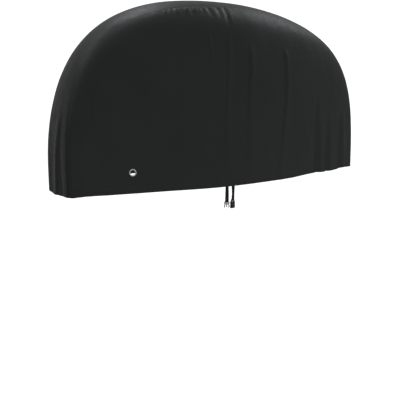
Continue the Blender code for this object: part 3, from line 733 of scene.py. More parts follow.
def shaped_gusset(seed):
    x_line, rise_line, marks, total = gusset_path(GUSSET_STATIONS)
    spread = np.linspace(-1.0, 1.0, GUSSET_ACROSS)
    spread = 0.75 * spread + 0.25 * np.sin(0.5 * math.pi * spread)
    across, x = np.meshgrid(spread, x_line)
    rise = rise_line[:, None] * np.ones_like(across)
    length = marks[:, None] * np.ones_like(across)
    edge = seam_share(rise)
    points, normals = roof_points(x, rise, across * edge)
    points = rounded_in_plan(points)
    height = points[..., 2]
    to_seam = (1.0 - np.abs(across)) * edge * half_width(x)
    relief = np.zeros_like(x)
    for fold in GUSSET_FOLDS:
        high = fold["rises"][2]
        along = (1.0 - smooth_step(rise, high - 0.16, high)) * (x * fold["end"] > 0.0)
        along = along * np.interp(rise, fold["rises"], fold["strengths"])
        line = np.interp(rise, fold["rises"], fold["across"])
        line = line + 0.03 * np.sin(9.0 * rise + 3.0 * fold["across"][1])
        relief -= fold["depth"] * along * bell(across - line, fold["half"])
    relief = (relief + uneven(length, across, GUSSET_UNEVEN, seed)) * edge_fade(to_seam, 0.03)
    gathered = GATHERED["gusset"] * edge_fade(to_seam, 0.02)
    low = np.minimum(length, total - length)
    relief += hem_gathers(across * 0.14 + 3.0, low, gathered, seed + 5.0)
    relief += hem_band(low)
    relief += seam_allowance(to_seam)
    relief += seam_pinch(to_seam, length * 60.0, across * 3.0, seed)
    relief += full_cloth(to_seam, height)
    points = points + normals * relief[..., None]
    hem_fade = 1.0 - smooth_step(seam_height(rise) / seam_height(CORNER_RISE), 0.0, HEM_LIFT_REACH)
    lift = np.interp(across, FRONT_HEM_LIFT["across"], FRONT_HEM_LIFT["lifts"])
    points[..., 2] += lift * hem_fade * (x < 0.0)
    points[..., 2] -= HEM_DROP
    weave = np.stack([across * edge * half_width(x), length], axis=-1)
    return points, normals, weave, edge_wear(np.minimum(to_seam, low + 0.002), length, across, seed)


def make_gusset(material):
    kept = np.ones((GUSSET_STATIONS - 1, GUSSET_ACROSS - 1), dtype=bool)
    return make_cloth("gusset_cloth", shaped_gusset(GUSSET_SEED), kept, material)


# Stitches

def line_at_distance(points, normals, distance, axis, target):
    """Points and normals where the distance along the grid from an edge reaches the target."""
    places = np.moveaxis(points, axis, 0)
    facing = np.moveaxis(normals, axis, 0)
    ruler = np.moveaxis(distance, axis, 0)
    if ruler[0, 0] > ruler[-1, 0]:
        places, facing, ruler = places[::-1], facing[::-1], ruler[::-1]
    after = np.argmax(ruler >= target, axis=0)
    after = np.maximum(after, 1)
    lines = np.arange(ruler.shape[1])
    start, finish = ruler[after - 1, lines], ruler[after, lines]
    share = ((target - start) / np.maximum(finish - start, 1e-9))[:, None]
    share = np.clip(share, 0.0, 1.0)
    line = places[after - 1, lines] * (1.0 - share) + places[after, lines] * share
    return line, facing[after - 1, lines]


def stitch_template():
    """A short lens of thread: its places along, across and out of the cloth, and its faces."""
    rings = ((-0.62, 0.70), (0.0, 1.0), (0.62, 0.70))
    sides = 6
    points = [(-1.0, 0.0, 0.0)]
    for along, swell in rings:
        for index in range(sides):
            angle = math.tau * index / sides
            points.append((along, swell * math.cos(angle), swell * math.sin(angle)))
    points.append((1.0, 0.0, 0.0))
    last = len(points) - 1
    faces = []
    for index in range(sides):
        following = (index + 1) % sides
        faces.append((0, 1 + following, 1 + index))
        for ring in range(len(rings) - 1):
            first = 1 + ring * sides
            faces.append((first + index, first + following, first + sides + following,
                          first + sides + index))
        first = last - sides
        faces.append((first + index, first + following, last))
    return np.array(points), faces


def sampled(values, ruler, places):
    """Rows of three values, read off at these places of the ruler."""
    return np.stack([np.interp(places, ruler, values[:, axis]) for axis in range(3)], axis=1)


def row_stitches(line, facing, pitch):
    """Centres, directions and normals of the stitches of one row."""
    mileage = mileage_of(line)
    count = int(mileage[-1] / pitch)
    if count < 1:
        return np.zeros((0, 3)), np.zeros((0, 3)), np.zeros((0, 3))
    margin = 0.5 * (mileage[-1] - (count - 1) * pitch)
    marks = margin + pitch * np.arange(count)
    centres = sampled(line, mileage, marks)
    reach = 0.4 * pitch
    ahead = sampled(line, mileage, marks + reach) - sampled(line, mileage, marks - reach)
    ahead /= np.maximum(np.linalg.norm(ahead, axis=1, keepdims=True), 1e-9)
    out = sampled(facing, mileage, marks)
    out -= ahead * np.sum(out * ahead, axis=1, keepdims=True)
    out /= np.linalg.norm(out, axis=1, keepdims=True)
    return centres, ahead, out


def make_stitches(name, rows, material, pitch=None):
    template, template_faces = stitch_template()
    sizes = np.array((STITCH["half_length"], STITCH["half_width"], STITCH["height"]))
    points = []
    faces = []
    for line, facing in rows:
        centres, ahead, out = row_stitches(line, facing, pitch or STITCH["pitch"])
        beside = np.cross(out, ahead)
        axes = np.stack([ahead, beside, out], axis=1)
        placed = np.einsum("ka,saj->skj", template * sizes, axes) + centres[:, None, :]
        for stitch in placed:
            first = len(points)
            points.extend(map(tuple, stitch))
            faces.extend(tuple(first + index for index in face) for face in template_faces)
    return new_piece(name, points, faces, material)


def panel_rows(points, normals, straps):
    """The hem's row, and the short rows that hold the straps."""
    from_hem = grid_distance(points, 0, False)
    rows = [line_at_distance(points, normals, from_hem, 0, HEM_STITCH_HEIGHT)]
    for height in TACK_HEIGHTS:
        line, facing = line_at_distance(points, normals, from_hem, 0, height)
        for strap in straps:
            marks = strap["x"] + np.linspace(-TACK_HALF_WIDTH, TACK_HALF_WIDTH, 9)
            rows.append((sampled(line, line[:, 0], marks), sampled(facing, line[:, 0], marks)))
    return rows


def gusset_rows(points, normals):
    rows = []
    for from_end in (False, True):
        to_seam = grid_distance(points, 1, from_end)
        rows.append(line_at_distance(points, normals, to_seam, 1, SEAM_STITCH_OFFSET))
        to_hem = grid_distance(points, 0, from_end)
        rows.append(line_at_distance(points, normals, to_hem, 0, HEM_STITCH_HEIGHT))
    return rows


# Eyelets

def eyelet_section():
    """Radius and level of the pressed ring: a rolled front, a barrel and a flatter back."""
    hole, rim, thick = EYELET["hole"], EYELET["flange"], EYELET["thick"]
    width = rim - hole
    back = -CLOTH - 0.0008
    section = []
    for step in range(17):
        share = step / 16.0
        roll = math.sin(math.pi * share) ** 0.55
        lean = 1.0 - 0.35 * share
        radius = hole + width * (0.5 - 0.5 * math.cos(math.pi * share))
        section.append((radius, thick * roll * lean))
    section.append((EYELET["barrel"], 0.0))
    section.append((EYELET["barrel"], back))
    for step in range(9):
        share = 1.0 - step / 8.0
        radius = hole + 0.86 * width * share
        section.append((radius, back - 0.7 * thick * math.sin(math.pi * share) ** 0.6))
    return section


def make_eyelet(name, centre, normal, material):
    section = eyelet_section()
    sides = EYELET["sides"]
    points = []
    for radius, level in section:
        for index in range(sides):
            angle = math.tau * index / sides
            points.append((radius * math.cos(angle), radius * math.sin(angle), level))
    faces = []
    rings = len(section)
    for ring in range(rings):
        following = (ring + 1) % rings
        for index in range(sides):
            beside = (index + 1) % sides
            faces.append((ring * sides + index, ring * sides + beside,
                          following * sides + beside, following * sides + index))
    item = new_piece(name, points, faces, material)
    turn = Vector(normal).to_track_quat("Z", "Y").to_matrix().to_4x4()
    item.data.transform(Matrix.Translation(Vector(centre)) @ turn)
    recalculated(item.data)
    return item


# Straps

def strap_frame(strap):
    """Where the strap's middle line passes the hem, and its turn about the vertical there."""
    points, normals = side_points(np.array([strap["x"]]), np.array([0.0]), -1.0)
    behind = SOLID_CLOTH + PIECE_GAP + WEBBING["thickness"] / 2.0
    base = Vector(points[0] - normals[0] * behind) - Vector((0.0, 0.0, HEM_DROP))
    return base, math.atan2(normals[0][0], -normals[0][1])


def loop_radius():
    corner = math.hypot(BAR_HALF_DEPTH, BAR_HALF_HEIGHT)
    return corner + PIECE_GAP + WEBBING["thickness"] / 2.0


def strap_route(strap):
    """Depth and height of the webbing's middle line, from its tucked end to its sewn tail."""
    radius = loop_radius()
    bar_height = -strap["hang"]
    close = WEBBING["thickness"] + PIECE_GAP
    step = 0.25 * RIB_PITCH
    count = int((WEBBING["tuck"] - bar_height) / step)
    route = [(0.0, height) for height in np.linspace(WEBBING["tuck"], bar_height, count)]
    bends = int(math.pi * radius / step)
    for index in range(1, bends + 1):
        angle = math.pi * index / bends
        route.append((radius - radius * math.cos(angle), bar_height - radius * math.sin(angle)))
    count = int(WEBBING["tail"] / step)
    for height in np.linspace(0.0, WEBBING["tail"], count)[1:]:
        settled = float(smooth_step(height, BAR_HALF_HEIGHT, 0.42 * WEBBING["tail"]))
        route.append((2.0 * radius + (close - 2.0 * radius) * settled, bar_height + height))
    return np.array(route)


def strap_spin(strap, height):
    """The strap's turn about the vertical at this height."""
    hem_turn = strap_frame(strap)[1]
    share = float(1.0 - smooth_step(height, TURN_ENDS, TURN_STARTS))
    return Matrix.Rotation(hem_turn + share * (math.radians(strap["turn_deg"]) - hem_turn), 3, "Z")


def webbing_section():
    """Half a turn round each edge and straight faces between, as across, through and facing out."""
    half_width = WEBBING["width"] / 2.0
    half_thick = WEBBING["thickness"] / 2.0
    flat = half_width - half_thick
    section = [(across, -half_thick, -1.0) for across in np.linspace(-flat, flat, 13)]
    for step in range(1, 5):
        angle = math.pi * step / 5.0
        section.append((flat + half_thick * math.sin(angle), -half_thick * math.cos(angle), 0.0))
    section.extend((across, half_thick, 1.0) for across in np.linspace(flat, -flat, 13))
    for step in range(1, 5):
        angle = math.pi * step / 5.0
        section.append((-flat - half_thick * math.sin(angle), half_thick * math.cos(angle), 0.0))
    return section


def make_strap(name, strap, material):
    base, _ = strap_frame(strap)
    route = strap_route(strap)
    section = webbing_section()
    run = np.gradient(route, axis=0)
    run /= np.linalg.norm(run, axis=1, keepdims=True)
    mileage = mileage_of(route)
    points = []
    places = []
    around = [0.0]
    for before, after in zip(section, section[1:]):
        around.append(around[-1] + math.dist(before[:2], after[:2]))
    for (depth, height), (run_depth, run_height), length in zip(route, run, mileage):
        spin = strap_spin(strap, height)
        for (across, through, facing), round_length in zip(section, around):
            phase = math.tau * (length + 0.35 * abs(across)) / RIB_PITCH
            shift = through + facing * RIB_DEPTH * (math.sin(phase) - 1.0)
            local = Vector((across, depth - run_height * shift, height + run_depth * shift))
            points.append(base + spin @ local)
            places.append((round_length, length))
    count = len(section)
    faces = [tuple(range(count))]
    for index in range(len(route) - 1):
        faces += ring_faces(count * index, count)
    last = count * (len(route) - 1)
    faces.append(tuple(last + corner for corner in reversed(range(count))))
    item = new_piece(name, points, faces, material)
    layer = item.data.uv_layers.new(name="cloth")
    for loop in item.data.loops:
        layer.data[loop.index].uv = places[loop.vertex_index]
    recalculated(item.data)
    return item, float(mileage[-1])


def strap_box_rows(strap):
    """A sewn box with a cross, on the strap's outer face, through its folded-back tail."""
    base, _ = strap_frame(strap)
    half = BOX_STITCH["half_width"]
    low = BOX_STITCH["low"] - strap["hang"]
    high = BOX_STITCH["high"] - strap["hang"]
    corners = ((-half, low), (half, low), (half, high), (-half, high))
    lines = [(corners[index], corners[(index + 1) % 4]) for index in range(4)]
    lines += [(corners[0], corners[2]), (corners[1], corners[3])]
    front = -WEBBING["thickness"] / 2.0 - 0.00005
    rows = []
    for start, finish in lines:
        line = []
        facing = []
        for share in np.linspace(0.0, 1.0, 12):
            across = start[0] + (finish[0] - start[0]) * share
            height = start[1] + (finish[1] - start[1]) * share
            spin = strap_spin(strap, height)
            line.append(base + spin @ Vector((across, front, height)))
            facing.append(spin @ Vector((0.0, -1.0, 0.0)))
        rows.append((np.array(line), np.array(facing)))
    return rows


# The buckle's halves

def mirrored(half_outline):
    """A whole outline from its right half, listed from the top down."""
    return list(half_outline) + [(-x, z) for x, z in reversed(half_outline)]


def slot_outline():
    top = -BAR_HALF_HEIGHT
    return mirrored(((SLOT_HALF_WIDTH, top), (SLOT_HALF_WIDTH, top - SLOT_HEIGHT)))


def plate(name, outline, holes, half_depth):
    """A flat plate: an outline in x and z with its holes, between two planes across y."""
    shape = bmesh.new()
    edges = []
    for loop in (outline, *holes):
        corners = [shape.verts.new((x, -half_depth, z)) for x, z in loop]
        for start, finish in zip(corners, corners[1:] + corners[:1]):
            edges.append(shape.edges.new((start, finish)))
    filled = bmesh.ops.triangle_fill(shape, use_beauty=True, edges=edges)
    faces = [piece for piece in filled["geom"] if isinstance(piece, bmesh.types.BMFace)]
    grown = bmesh.ops.extrude_face_region(shape, geom=faces, use_keep_orig=True)
    moved = [piece for piece in grown["geom"] if isinstance(piece, bmesh.types.BMVert)]
    bmesh.ops.translate(shape, verts=moved, vec=(0.0, 2.0 * half_depth, 0.0))
    bmesh.ops.recalc_face_normals(shape, faces=shape.faces)
    bmesh.ops.dissolve_limit(shape, angle_limit=math.radians(0.5), verts=shape.verts,
                             edges=shape.edges)
    return piece_of_shape(name, shape)


def block(name, low, high):
    shape = bmesh.new()
    bmesh.ops.create_cube(shape, size=1.0)
    for vertex in shape.verts:
        for axis in range(3):
            vertex.co[axis] = low[axis] if vertex.co[axis] < 0.0 else high[axis]
    return piece_of_shape(name, shape)


def rounded(item, width, segments):
    change = item.modifiers.new("rounding", "BEVEL")
    change.width = width
    change.segments = segments
    change.limit_method = "ANGLE"
    change.angle_limit = math.radians(SHARP_DEGREES)
    change.use_clamp_overlap = True


def combined(item, other, operation):
    change = item.modifiers.new("joint", "BOOLEAN")
    change.operation = operation
    change.solver = "EXACT"
    change.object = other


def settled(item, helpers=()):
    """Makes the modifiers part of the mesh and removes the helper shapes."""
    shown = item.evaluated_get(bpy.context.evaluated_depsgraph_get())
    mesh = bpy.data.meshes.new_from_object(shown)
    item.modifiers.clear()
    item.data = mesh
    for helper in helpers:
        bpy.data.objects.remove(helper)


def hang_on_strap(item, strap):
    base, _ = strap_frame(strap)
    spin = strap_spin(strap, -strap["hang"])
    offset = spin @ Vector((0.0, loop_radius(), -strap["hang"]))
    item.data.transform(Matrix.Translation(base + offset) @ spin.to_4x4())


def finished_plastic(item, strap, material):
    hang_on_strap(item, strap)
    item.data.shade_smooth()
    bpy.context.view_layer.objects.active = item
    item.data.set_sharp_from_angle(angle=math.radians(SHARP_DEGREES))
    item.data.materials.clear()
    item.data.materials.append(material)


def make_plug(material):
    """The half with two barbed arms and a middle tongue."""
    arm = PLUG_ARM
    half = (
        (FRAME_HALF_WIDTH - FRAME_CORNER, BAR_HALF_HEIGHT),
        (FRAME_HALF_WIDTH - 0.3 * FRAME_CORNER, BAR_HALF_HEIGHT - 0.3 * FRAME_CORNER),
        (FRAME_HALF_WIDTH, BAR_HALF_HEIGHT - FRAME_CORNER),
        (FRAME_HALF_WIDTH, FRAME_BOTTOM + FRAME_CORNER),
        (FRAME_HALF_WIDTH - 0.3 * FRAME_CORNER, FRAME_BOTTOM + 0.3 * FRAME_CORNER),
        (FRAME_HALF_WIDTH - FRAME_CORNER, FRAME_BOTTOM),
        (arm["root"], FRAME_BOTTOM - 0.001),
        (0.62 * arm["root"] + 0.38 * arm["barb"], 0.66 * FRAME_BOTTOM + 0.34 * arm["barb_height"]),
        (0.30 * arm["root"] + 0.70 * arm["barb"], 0.34 * FRAME_BOTTOM + 0.66 * arm["barb_height"]),
        (arm["barb"], arm["barb_height"] + 0.0022),
        (arm["barb"] - 0.0003, arm["barb_height"] + 0.0004),
        (arm["barb"] - 0.0012, arm["barb_height"] - 0.0005),
        (arm["notch"], arm["barb_height"] - 0.0012),
        (arm["notch"] - 0.0004, PLUG_TIP + 0.0025),
        (arm["tip"] + 0.0007, PLUG_TIP + 0.0007),
        (arm["tip"], PLUG_TIP),
        (arm["tip"] - 0.0022, PLUG_TIP + 0.0006),
        (0.55 * arm["tip"] + 0.45 * arm["inside"], 0.45 * PLUG_TIP + 0.55 * FRAME_BOTTOM),
        (arm["inside"], FRAME_BOTTOM - 0.0040),
        (arm["inside"] - 0.0014, FRAME_BOTTOM - 0.0016),
        (TONGUE_HALF_WIDTH + 0.0008, FRAME_BOTTOM - 0.0012),
        (TONGUE_HALF_WIDTH, PLUG_TIP + 0.0060),
        (0.5 * TONGUE_HALF_WIDTH, PLUG_TIP + 0.0035),
    )
    item = plate("plug_half", mirrored(half), [slot_outline()], BAR_HALF_DEPTH)
    rounded(item, EDGE_ROUNDING, 3)
    shoulder = block("shoulder", (-0.0125, -BAR_HALF_DEPTH - 0.0008, FRAME_BOTTOM + 0.0012),
                     (0.0125, BAR_HALF_DEPTH + 0.0008, FRAME_BOTTOM + 0.0034))
    rounded(shoulder, EDGE_ROUNDING, 3)
    combined(item, shoulder, "UNION")
    settled(item, [shoulder])
    finished_plastic(item, LEFT_STRAP, material)
    return item


def make_socket(material):
    """The hollow half: a rounded, waisted body open below, under a thin slotted frame."""
    waist = SOCKET_WAIST
    squeeze = []
    for step in range(9):
        share = step / 8.0
        height = waist["height"] + waist["half_height"] * 1.6 * (1.0 - 2.0 * share)
        dip = 0.5 + 0.5 * math.cos(math.pi * (2.0 * share - 1.0))
        squeeze.append((FRAME_HALF_WIDTH - (FRAME_HALF_WIDTH - waist["half_width"]) * dip, height))
    half = [(FRAME_HALF_WIDTH - FRAME_CORNER, SOCKET_TOP),
            (FRAME_HALF_WIDTH, SOCKET_TOP - FRAME_CORNER)]
    half += squeeze
    half += [(FRAME_HALF_WIDTH, SOCKET_BOTTOM + FRAME_CORNER),
             (FRAME_HALF_WIDTH - FRAME_CORNER, SOCKET_BOTTOM)]
    item = plate("socket_half", mirrored(half), [], SOCKET_HALF_DEPTH)
    rounded(item, SOCKET_ROUNDING, 5)
    frame_half = (
        (FRAME_HALF_WIDTH - FRAME_CORNER, BAR_HALF_HEIGHT),
        (FRAME_HALF_WIDTH - 0.0003, BAR_HALF_HEIGHT - FRAME_CORNER),
        (FRAME_HALF_WIDTH - 0.0003, FRAME_BOTTOM),
    )
    slotted = plate("slotted_frame", mirrored(frame_half), [slot_outline()], BAR_HALF_DEPTH)
    rounded(slotted, EDGE_ROUNDING, 3)
    combined(item, slotted, "UNION")
    helpers = [slotted]
    for side in (-1.0, 1.0):
        for step in range(4):
            height = waist["height"] + 0.0048 - 0.0032 * step
            inner, outer = SOCKET_HALF_DEPTH - 0.0006, SOCKET_HALF_DEPTH + 0.0005
            low_y, high_y = sorted((side * inner, side * outer))
            rib = block("grip", (-0.0082, low_y, height - 0.0006),
                        (0.0082, high_y, height + 0.0006))
            rounded(rib, 0.0004, 2)
            combined(item, rib, "UNION")
            helpers.append(rib)
    cavity = block("cavity", (-CAVITY["half_width"], -CAVITY["half_depth"], SOCKET_BOTTOM - 0.005),
                   (CAVITY["half_width"], CAVITY["half_depth"], CAVITY["top"]))
    combined(item, cavity, "DIFFERENCE")
    windows = block("windows", (-2.0 * FRAME_HALF_WIDTH, -WINDOW["half_depth"], WINDOW["bottom"]),
                    (2.0 * FRAME_HALF_WIDTH, WINDOW["half_depth"], WINDOW["top"]))
    combined(item, windows, "DIFFERENCE")
    settled(item, helpers + [cavity, windows])
    finished_plastic(item, RIGHT_STRAP, material)
    return item


# Materials

def new_material(name, colour, roughness, metallic=0.0, specular=0.5):
    material = bpy.data.materials.new(name)
    material.use_nodes = True
    shader = material.node_tree.nodes["Principled BSDF"]
    shader.inputs["Base Color"].default_value = (*colour, 1.0)
    shader.inputs["Roughness"].default_value = roughness
    shader.inputs["Metallic"].default_value = metallic
    shader.inputs["Specular IOR Level"].default_value = specular
    return material


def add_node(material, kind, **values):
    """A node with these settings; a value whose name is a socket's goes to the socket."""
    node = material.node_tree.nodes.new(kind)
    for name, value in values.items():
        socket = name.replace("_", " ").title()
        if socket in node.inputs:
            node.inputs[socket].default_value = value
        else:
            setattr(node, name, value)
    return node


def join(material, start, finish):
    material.node_tree.links.new(start, finish)


def drive(material, socket, source):
    """Feeds a socket of the material's shader."""
    join(material, source, material.node_tree.nodes["Principled BSDF"].inputs[socket])


def blend(material, kind, first, second, amount):
    """Two colours blended; each one, and the amount, is an output or a plain value."""
    node = add_node(material, "ShaderNodeMix", data_type="RGBA", blend_type=kind)
    for index, source in ((0, amount), (6, first), (7, second)):
        if isinstance(source, bpy.types.NodeSocket):
            join(material, source, node.inputs[index])
        else:
            node.inputs[index].default_value = source
    return node.outputs[2]


def ramp(material, source, stops):
    """Colours along a source's value; a stop is a place and a colour or a shade of grey."""
    node = material.node_tree.nodes.new("ShaderNodeValToRGB")
    elements = node.color_ramp.elements
    while len(elements) < len(stops):
        elements.new(0.5)
    for element, (place, tone) in zip(elements, stops):
        colour = tone if isinstance(tone, tuple) else (tone, tone, tone)
        element.position = place
        element.color = (*colour, 1.0)
    join(material, source, node.inputs["Fac"])
    return node.outputs["Color"]


def bump(material, height, distance, strength, before=None):
    node = add_node(material, "ShaderNodeBump", distance=distance, strength=strength)
    join(material, height, node.inputs["Height"])
    if before is not None:
        join(material, before, node.inputs["Normal"])
    return node.outputs["Normal"]


def object_noise(material, scale, detail, roughness=0.5):
    places = material.node_tree.nodes.new("ShaderNodeTexCoord")
    node = add_node(material, "ShaderNodeTexNoise", scale=scale, detail=detail, roughness=roughness)
    join(material, places.outputs["Object"], node.inputs["Vector"])
    return node.outputs["Fac"]


def woven(material, pitch):
    """A plain weave in the map's metres: 1 on top of a thread and 0 between threads."""
    places = material.node_tree.nodes.new("ShaderNodeTexCoord")
    scale = math.tau / 20.0 / pitch
    threads = []
    for direction in ("X", "Y"):
        wave = add_node(material, "ShaderNodeTexWave", scale=scale, wave_type="BANDS",
                        bands_direction=direction, wave_profile="SIN", distortion=0.25,
                        detail=1.0, detail_scale=2.0)
        join(material, places.outputs["UV"], wave.inputs["Vector"])
        threads.append(wave.outputs["Fac"])
    higher = add_node(material, "ShaderNodeMath", operation="MULTIPLY")
    join(material, threads[0], higher.inputs[0])
    join(material, threads[1], higher.inputs[1])
    return higher.outputs["Value"]


def cloth_material():
    material = new_material("coated_cloth", (0.010, 0.0105, 0.010), 0.45, specular=0.35)
    weave = woven(material, CLOTH_WEAVE)
    patches = object_noise(material, 5.0, 4.0)
    crinkle = object_noise(material, 38.0, 5.0, 0.55)
    fine = object_noise(material, 190.0, 3.0, 0.5)
    tone = ramp(material, patches, ((0.25, (0.0112, 0.0142, 0.0122)),
                                    (0.75, (0.0155, 0.0196, 0.0170))))
    # Painted shade: the cloth's colour is darker in the gaps between its threads, where shade falls
    thread_gap_shade = ramp(material, weave, ((0.0, 0.55), (0.6, 1.0)))
    mixed = blend(material, "MULTIPLY", tone, thread_gap_shade, 0.35)
    wear = add_node(material, "ShaderNodeAttribute", attribute_name="wear")
    drive(material, "Base Color", blend(material, "MIX", mixed, WORN_CLOTH, wear.outputs["Fac"]))
    drive(material, "Roughness", ramp(material, crinkle, ((0.30, 0.38), (0.70, 0.50))))
    rough = bump(material, crinkle, 0.0020, 0.22)
    finer = bump(material, fine, 0.0005, 0.25, rough)
    drive(material, "Normal", bump(material, weave, 0.00006, 0.5, finer))
    return material


def thread_material():
    material = new_material("sewing_thread", (0.016, 0.016, 0.016), 0.55, specular=0.3)
    twist = object_noise(material, 1400.0, 2.0)
    drive(material, "Base Color", ramp(material, twist, ((0.3, 0.009), (0.7, 0.024))))
    drive(material, "Normal", bump(material, twist, 0.0001, 0.4))
    return material


def webbing_material():
    material = new_material("black_webbing", (0.010, 0.010, 0.011), 0.6, specular=0.3)
    weave = woven(material, WEBBING_WEAVE)
    fuzz = object_noise(material, 700.0, 3.0)
    # Painted shade: the webbing's colour is darker in the gaps between its threads, where shade falls
    tone = ramp(material, weave, ((0.0, (0.004, 0.004, 0.0045)), (0.7, (0.013, 0.013, 0.014))))
    drive(material, "Base Color", tone)
    drive(material, "Roughness", ramp(material, fuzz, ((0.3, 0.50), (0.7, 0.72))))
    woven_face = bump(material, weave, 0.00012, 0.6)
    drive(material, "Normal", bump(material, fuzz, 0.0001, 0.3, woven_face))
    return material


def eyelet_material():
    material = new_material("bright_metal", (0.80, 0.81, 0.82), 0.16, metallic=1.0)
    scuffs = object_noise(material, 260.0, 6.0, 0.65)
    cloud = object_noise(material, 60.0, 3.0)
    tone = ramp(material, cloud, ((0.3, (0.72, 0.73, 0.74)), (0.7, (0.84, 0.85, 0.86))))
    drive(material, "Base Color", tone)
    drive(material, "Roughness", ramp(material, scuffs, ((0.35, 0.10), (0.70, 0.28))))
    drive(material, "Normal", bump(material, scuffs, 0.0002, 0.12))
    return material


def plastic_material(name, dark, light, roughness):
    material = new_material(name, light, roughness)
    cloud = object_noise(material, 90.0, 3.0)
    grain = object_noise(material, 1500.0, 2.0)
    drive(material, "Base Color", ramp(material, cloud, ((0.3, dark), (0.7, light))))
    gloss = ramp(material, grain, ((0.3, roughness - 0.06), (0.7, roughness + 0.08)))
    drive(material, "Roughness", gloss)
    drive(material, "Normal", bump(material, grain, 0.0001, 0.18))
    return material


# Camera, light and backdrop

def make_camera():
    data = bpy.data.cameras.new("camera")
    data.lens = CAMERA_LENS
    data.sensor_width = 36.0
    data.clip_end = 60.0
    camera = bpy.data.objects.new("camera", data)
    turn = math.radians(CAMERA_AZIMUTH)
    down = math.radians(CAMERA_DOWN)
    ahead = Vector((math.sin(turn) * math.cos(down), math.cos(turn) * math.cos(down),
                    -math.sin(down)))
    camera.location = CAMERA_PLACE
    camera.rotation_euler = ahead.to_track_quat("-Z", "Y").to_euler()
    bpy.context.scene.collection.objects.link(camera)
    bpy.context.scene.camera = camera


def make_stage():
    """A wide round floor whose rim curves up into a wall, bright by itself as a lit studio is."""
    profile = [(0.0, 0.0), (STAGE["radius"] - STAGE["fillet"], 0.0)]
    for step in range(1, 13):
        angle = 0.5 * math.pi * step / 12
        profile.append((STAGE["radius"] - STAGE["fillet"] * (1.0 - math.sin(angle)),
                        STAGE["fillet"] * (1.0 - math.cos(angle))))
    profile.append((STAGE["radius"], STAGE["top"]))
    sides = STAGE["sides"]
    points = [(0.0, 0.0, STAGE["height"])]
    for radius, height in profile[1:]:
        for index in range(sides):
            angle = math.tau * index / sides
            points.append((radius * math.cos(angle), radius * math.sin(angle),
                           STAGE["height"] + height))
    faces = [(0, 1 + index, 1 + (index + 1) % sides) for index in range(sides)]
    for ring in range(len(profile) - 2):
        faces += ring_faces(1 + ring * sides, sides)
    material = new_material("pale_floor", (0.90, 0.90, 0.90), 0.9, specular=0.1)
    shader = material.node_tree.nodes["Principled BSDF"]
    shader.inputs["Emission Color"].default_value = (1.0, 1.0, 1.0, 1.0)
    shader.inputs["Emission Strength"].default_value = FLOOR_GLOW
    floor = new_piece("floor", points, faces, material)
    floor.visible_diffuse = False
    floor.visible_glossy = False
    floor.visible_shadow = False


def make_world():
    """Dim walls, paler below, with darker and lighter screens round the cover."""
    world = bpy.data.worlds.new("studio")
    bpy.context.scene.world = world
    world.use_nodes = True
    places = add_node(world, "ShaderNodeTexCoord")
    split = add_node(world, "ShaderNodeSeparateXYZ")
    join(world, places.outputs["Generated"], split.inputs["Vector"])
    height = add_node(world, "ShaderNodeMapRange", from_min=-1.0)
    join(world, split.outputs["Z"], height.inputs["Value"])
    walls = ramp(world, height.outputs["Result"], WORLD_LEVELS)
    for screen in SCREENS:
        turn = math.radians(screen["azimuth_deg"])
        up = math.radians(screen["up_deg"])
        towards = add_node(world, "ShaderNodeVectorMath", operation="DOT_PRODUCT")
        towards.inputs[1].default_value = (math.cos(turn) * math.cos(up),
                                           math.sin(turn) * math.cos(up), math.sin(up))
        join(world, places.outputs["Generated"], towards.inputs[0])
        nearness = add_node(world, "ShaderNodeMapRange", from_min=-1.0)
        join(world, towards.outputs["Value"], nearness.inputs["Value"])
        low, high = screen["edge"]
        tone = ramp(world, nearness.outputs["Result"], ((low, 1.0), (high, screen["level"])))
        walls = blend(world, "MULTIPLY", walls, tone, 1.0)
    join(world, walls, world.node_tree.nodes["Background"].inputs["Color"])


def make_light():
    make_world()
    for box in SOFTBOXES:
        data = bpy.data.lights.new("softbox", "AREA")
        data.shape = "RECTANGLE"
        data.size, data.size_y = box["size"]
        data.energy = box["watts"]
        data.color = SOFTBOX_COLOUR
        light = linked("softbox", data)
        light.location = box["place"]
        light.rotation_euler = (0.0, 0.0, math.radians(box["turn_deg"]))
        light.visible_camera = False
    bpy.context.scene.view_settings.view_transform = "Standard"


def eyelet_seat(node, side):
    """Centre and normal of the plane that an eyelet sits on."""
    low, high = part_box(node)
    middle = (low + high) / 2.0
    _, normals = side_points(np.array([middle.x]), np.array([middle.z + HEM_DROP]), side)
    normal = normals[0]
    return np.array(middle) + normal * EYELET_BOX_OFFSET, normal


def placed(piece, slot, *nodes):
    """Every piece rides on the one body and may stand for nodes, which are hidden; the slot is not
    used.
    """
    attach(piece, "root")
    if nodes:
        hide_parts(*nodes)


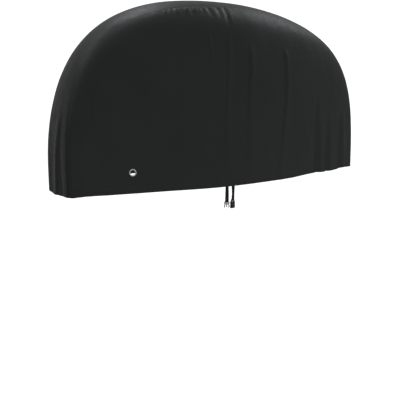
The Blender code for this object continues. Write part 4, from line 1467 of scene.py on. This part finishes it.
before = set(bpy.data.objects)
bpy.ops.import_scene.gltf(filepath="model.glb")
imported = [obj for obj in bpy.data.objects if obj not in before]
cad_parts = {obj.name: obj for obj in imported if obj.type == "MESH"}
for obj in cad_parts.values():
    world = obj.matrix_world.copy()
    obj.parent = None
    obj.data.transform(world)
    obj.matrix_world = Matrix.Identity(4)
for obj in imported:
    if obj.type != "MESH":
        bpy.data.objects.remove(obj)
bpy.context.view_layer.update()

bpy.context.scene.render.film_transparent = False
make_camera()
make_stage()
make_light()
cloth = cloth_material()
thread = thread_material()
webbing = webbing_material()
metal = eyelet_material()
light_plastic = plastic_material("light_plastic", (0.36, 0.37, 0.385), (0.46, 0.47, 0.485), 0.34)
dark_plastic = plastic_material("dark_plastic", (0.009, 0.009, 0.010), (0.015, 0.015, 0.016), 0.30)

near = {"folds": NEAR_FOLDS, "puckers": NEAR_PUCKERS, "lifts": NEAR_HEM_LIFTS, "seed": NEAR_SEED}
far = {"folds": FAR_FOLDS, "puckers": FAR_PUCKERS, "lifts": FAR_HEM_LIFTS, "seed": FAR_SEED}
straps = {}
for word, strap in (("left", LEFT_STRAP), ("right", RIGHT_STRAP)):
    straps[word], strap["length"] = make_strap(f"{word}_webbing", strap, webbing)
    placed(straps[word], "webbing", f"{word}_strap")
plug = make_plug(light_plastic)
socket = make_socket(dark_plastic)
placed(plug, "plug_plastic", "plug_buckle")
placed(socket, "socket_plastic", "socket_buckle")
for word, strap, half in (("left", LEFT_STRAP, plug), ("right", RIGHT_STRAP, socket)):
    sewn = make_stitches(f"{word}_strap_stitches", strap_box_rows(strap), thread, BOX_PITCH)
    placed(sewn, "webbing")

for word, side, form in (("near", -1.0, near), ("far", 1.0, far)):
    seat = eyelet_seat(f"{word}_eyelet", side)
    panel, points, normals = make_panel(f"{word}_panel_cloth", side, form, seat, cloth)
    placed(panel, "cover_cloth", f"{word}_side_panel", f"{word}_eyelet_patch")
    ring = make_eyelet(f"{word}_eyelet_ring", seat[0], seat[1], metal)
    placed(ring, "eyelet_metal", f"{word}_eyelet")
    rows = panel_rows(points, normals, (LEFT_STRAP, RIGHT_STRAP) if side < 0.0 else ())
    sewn = make_stitches(f"{word}_panel_stitches", rows, thread)
    placed(sewn, "cover_cloth")

gusset, points, normals = make_gusset(cloth)
placed(gusset, "cover_cloth", "centre_gusset")
sewn = make_stitches("gusset_stitches", gusset_rows(points, normals), thread)
placed(sewn, "cover_cloth")
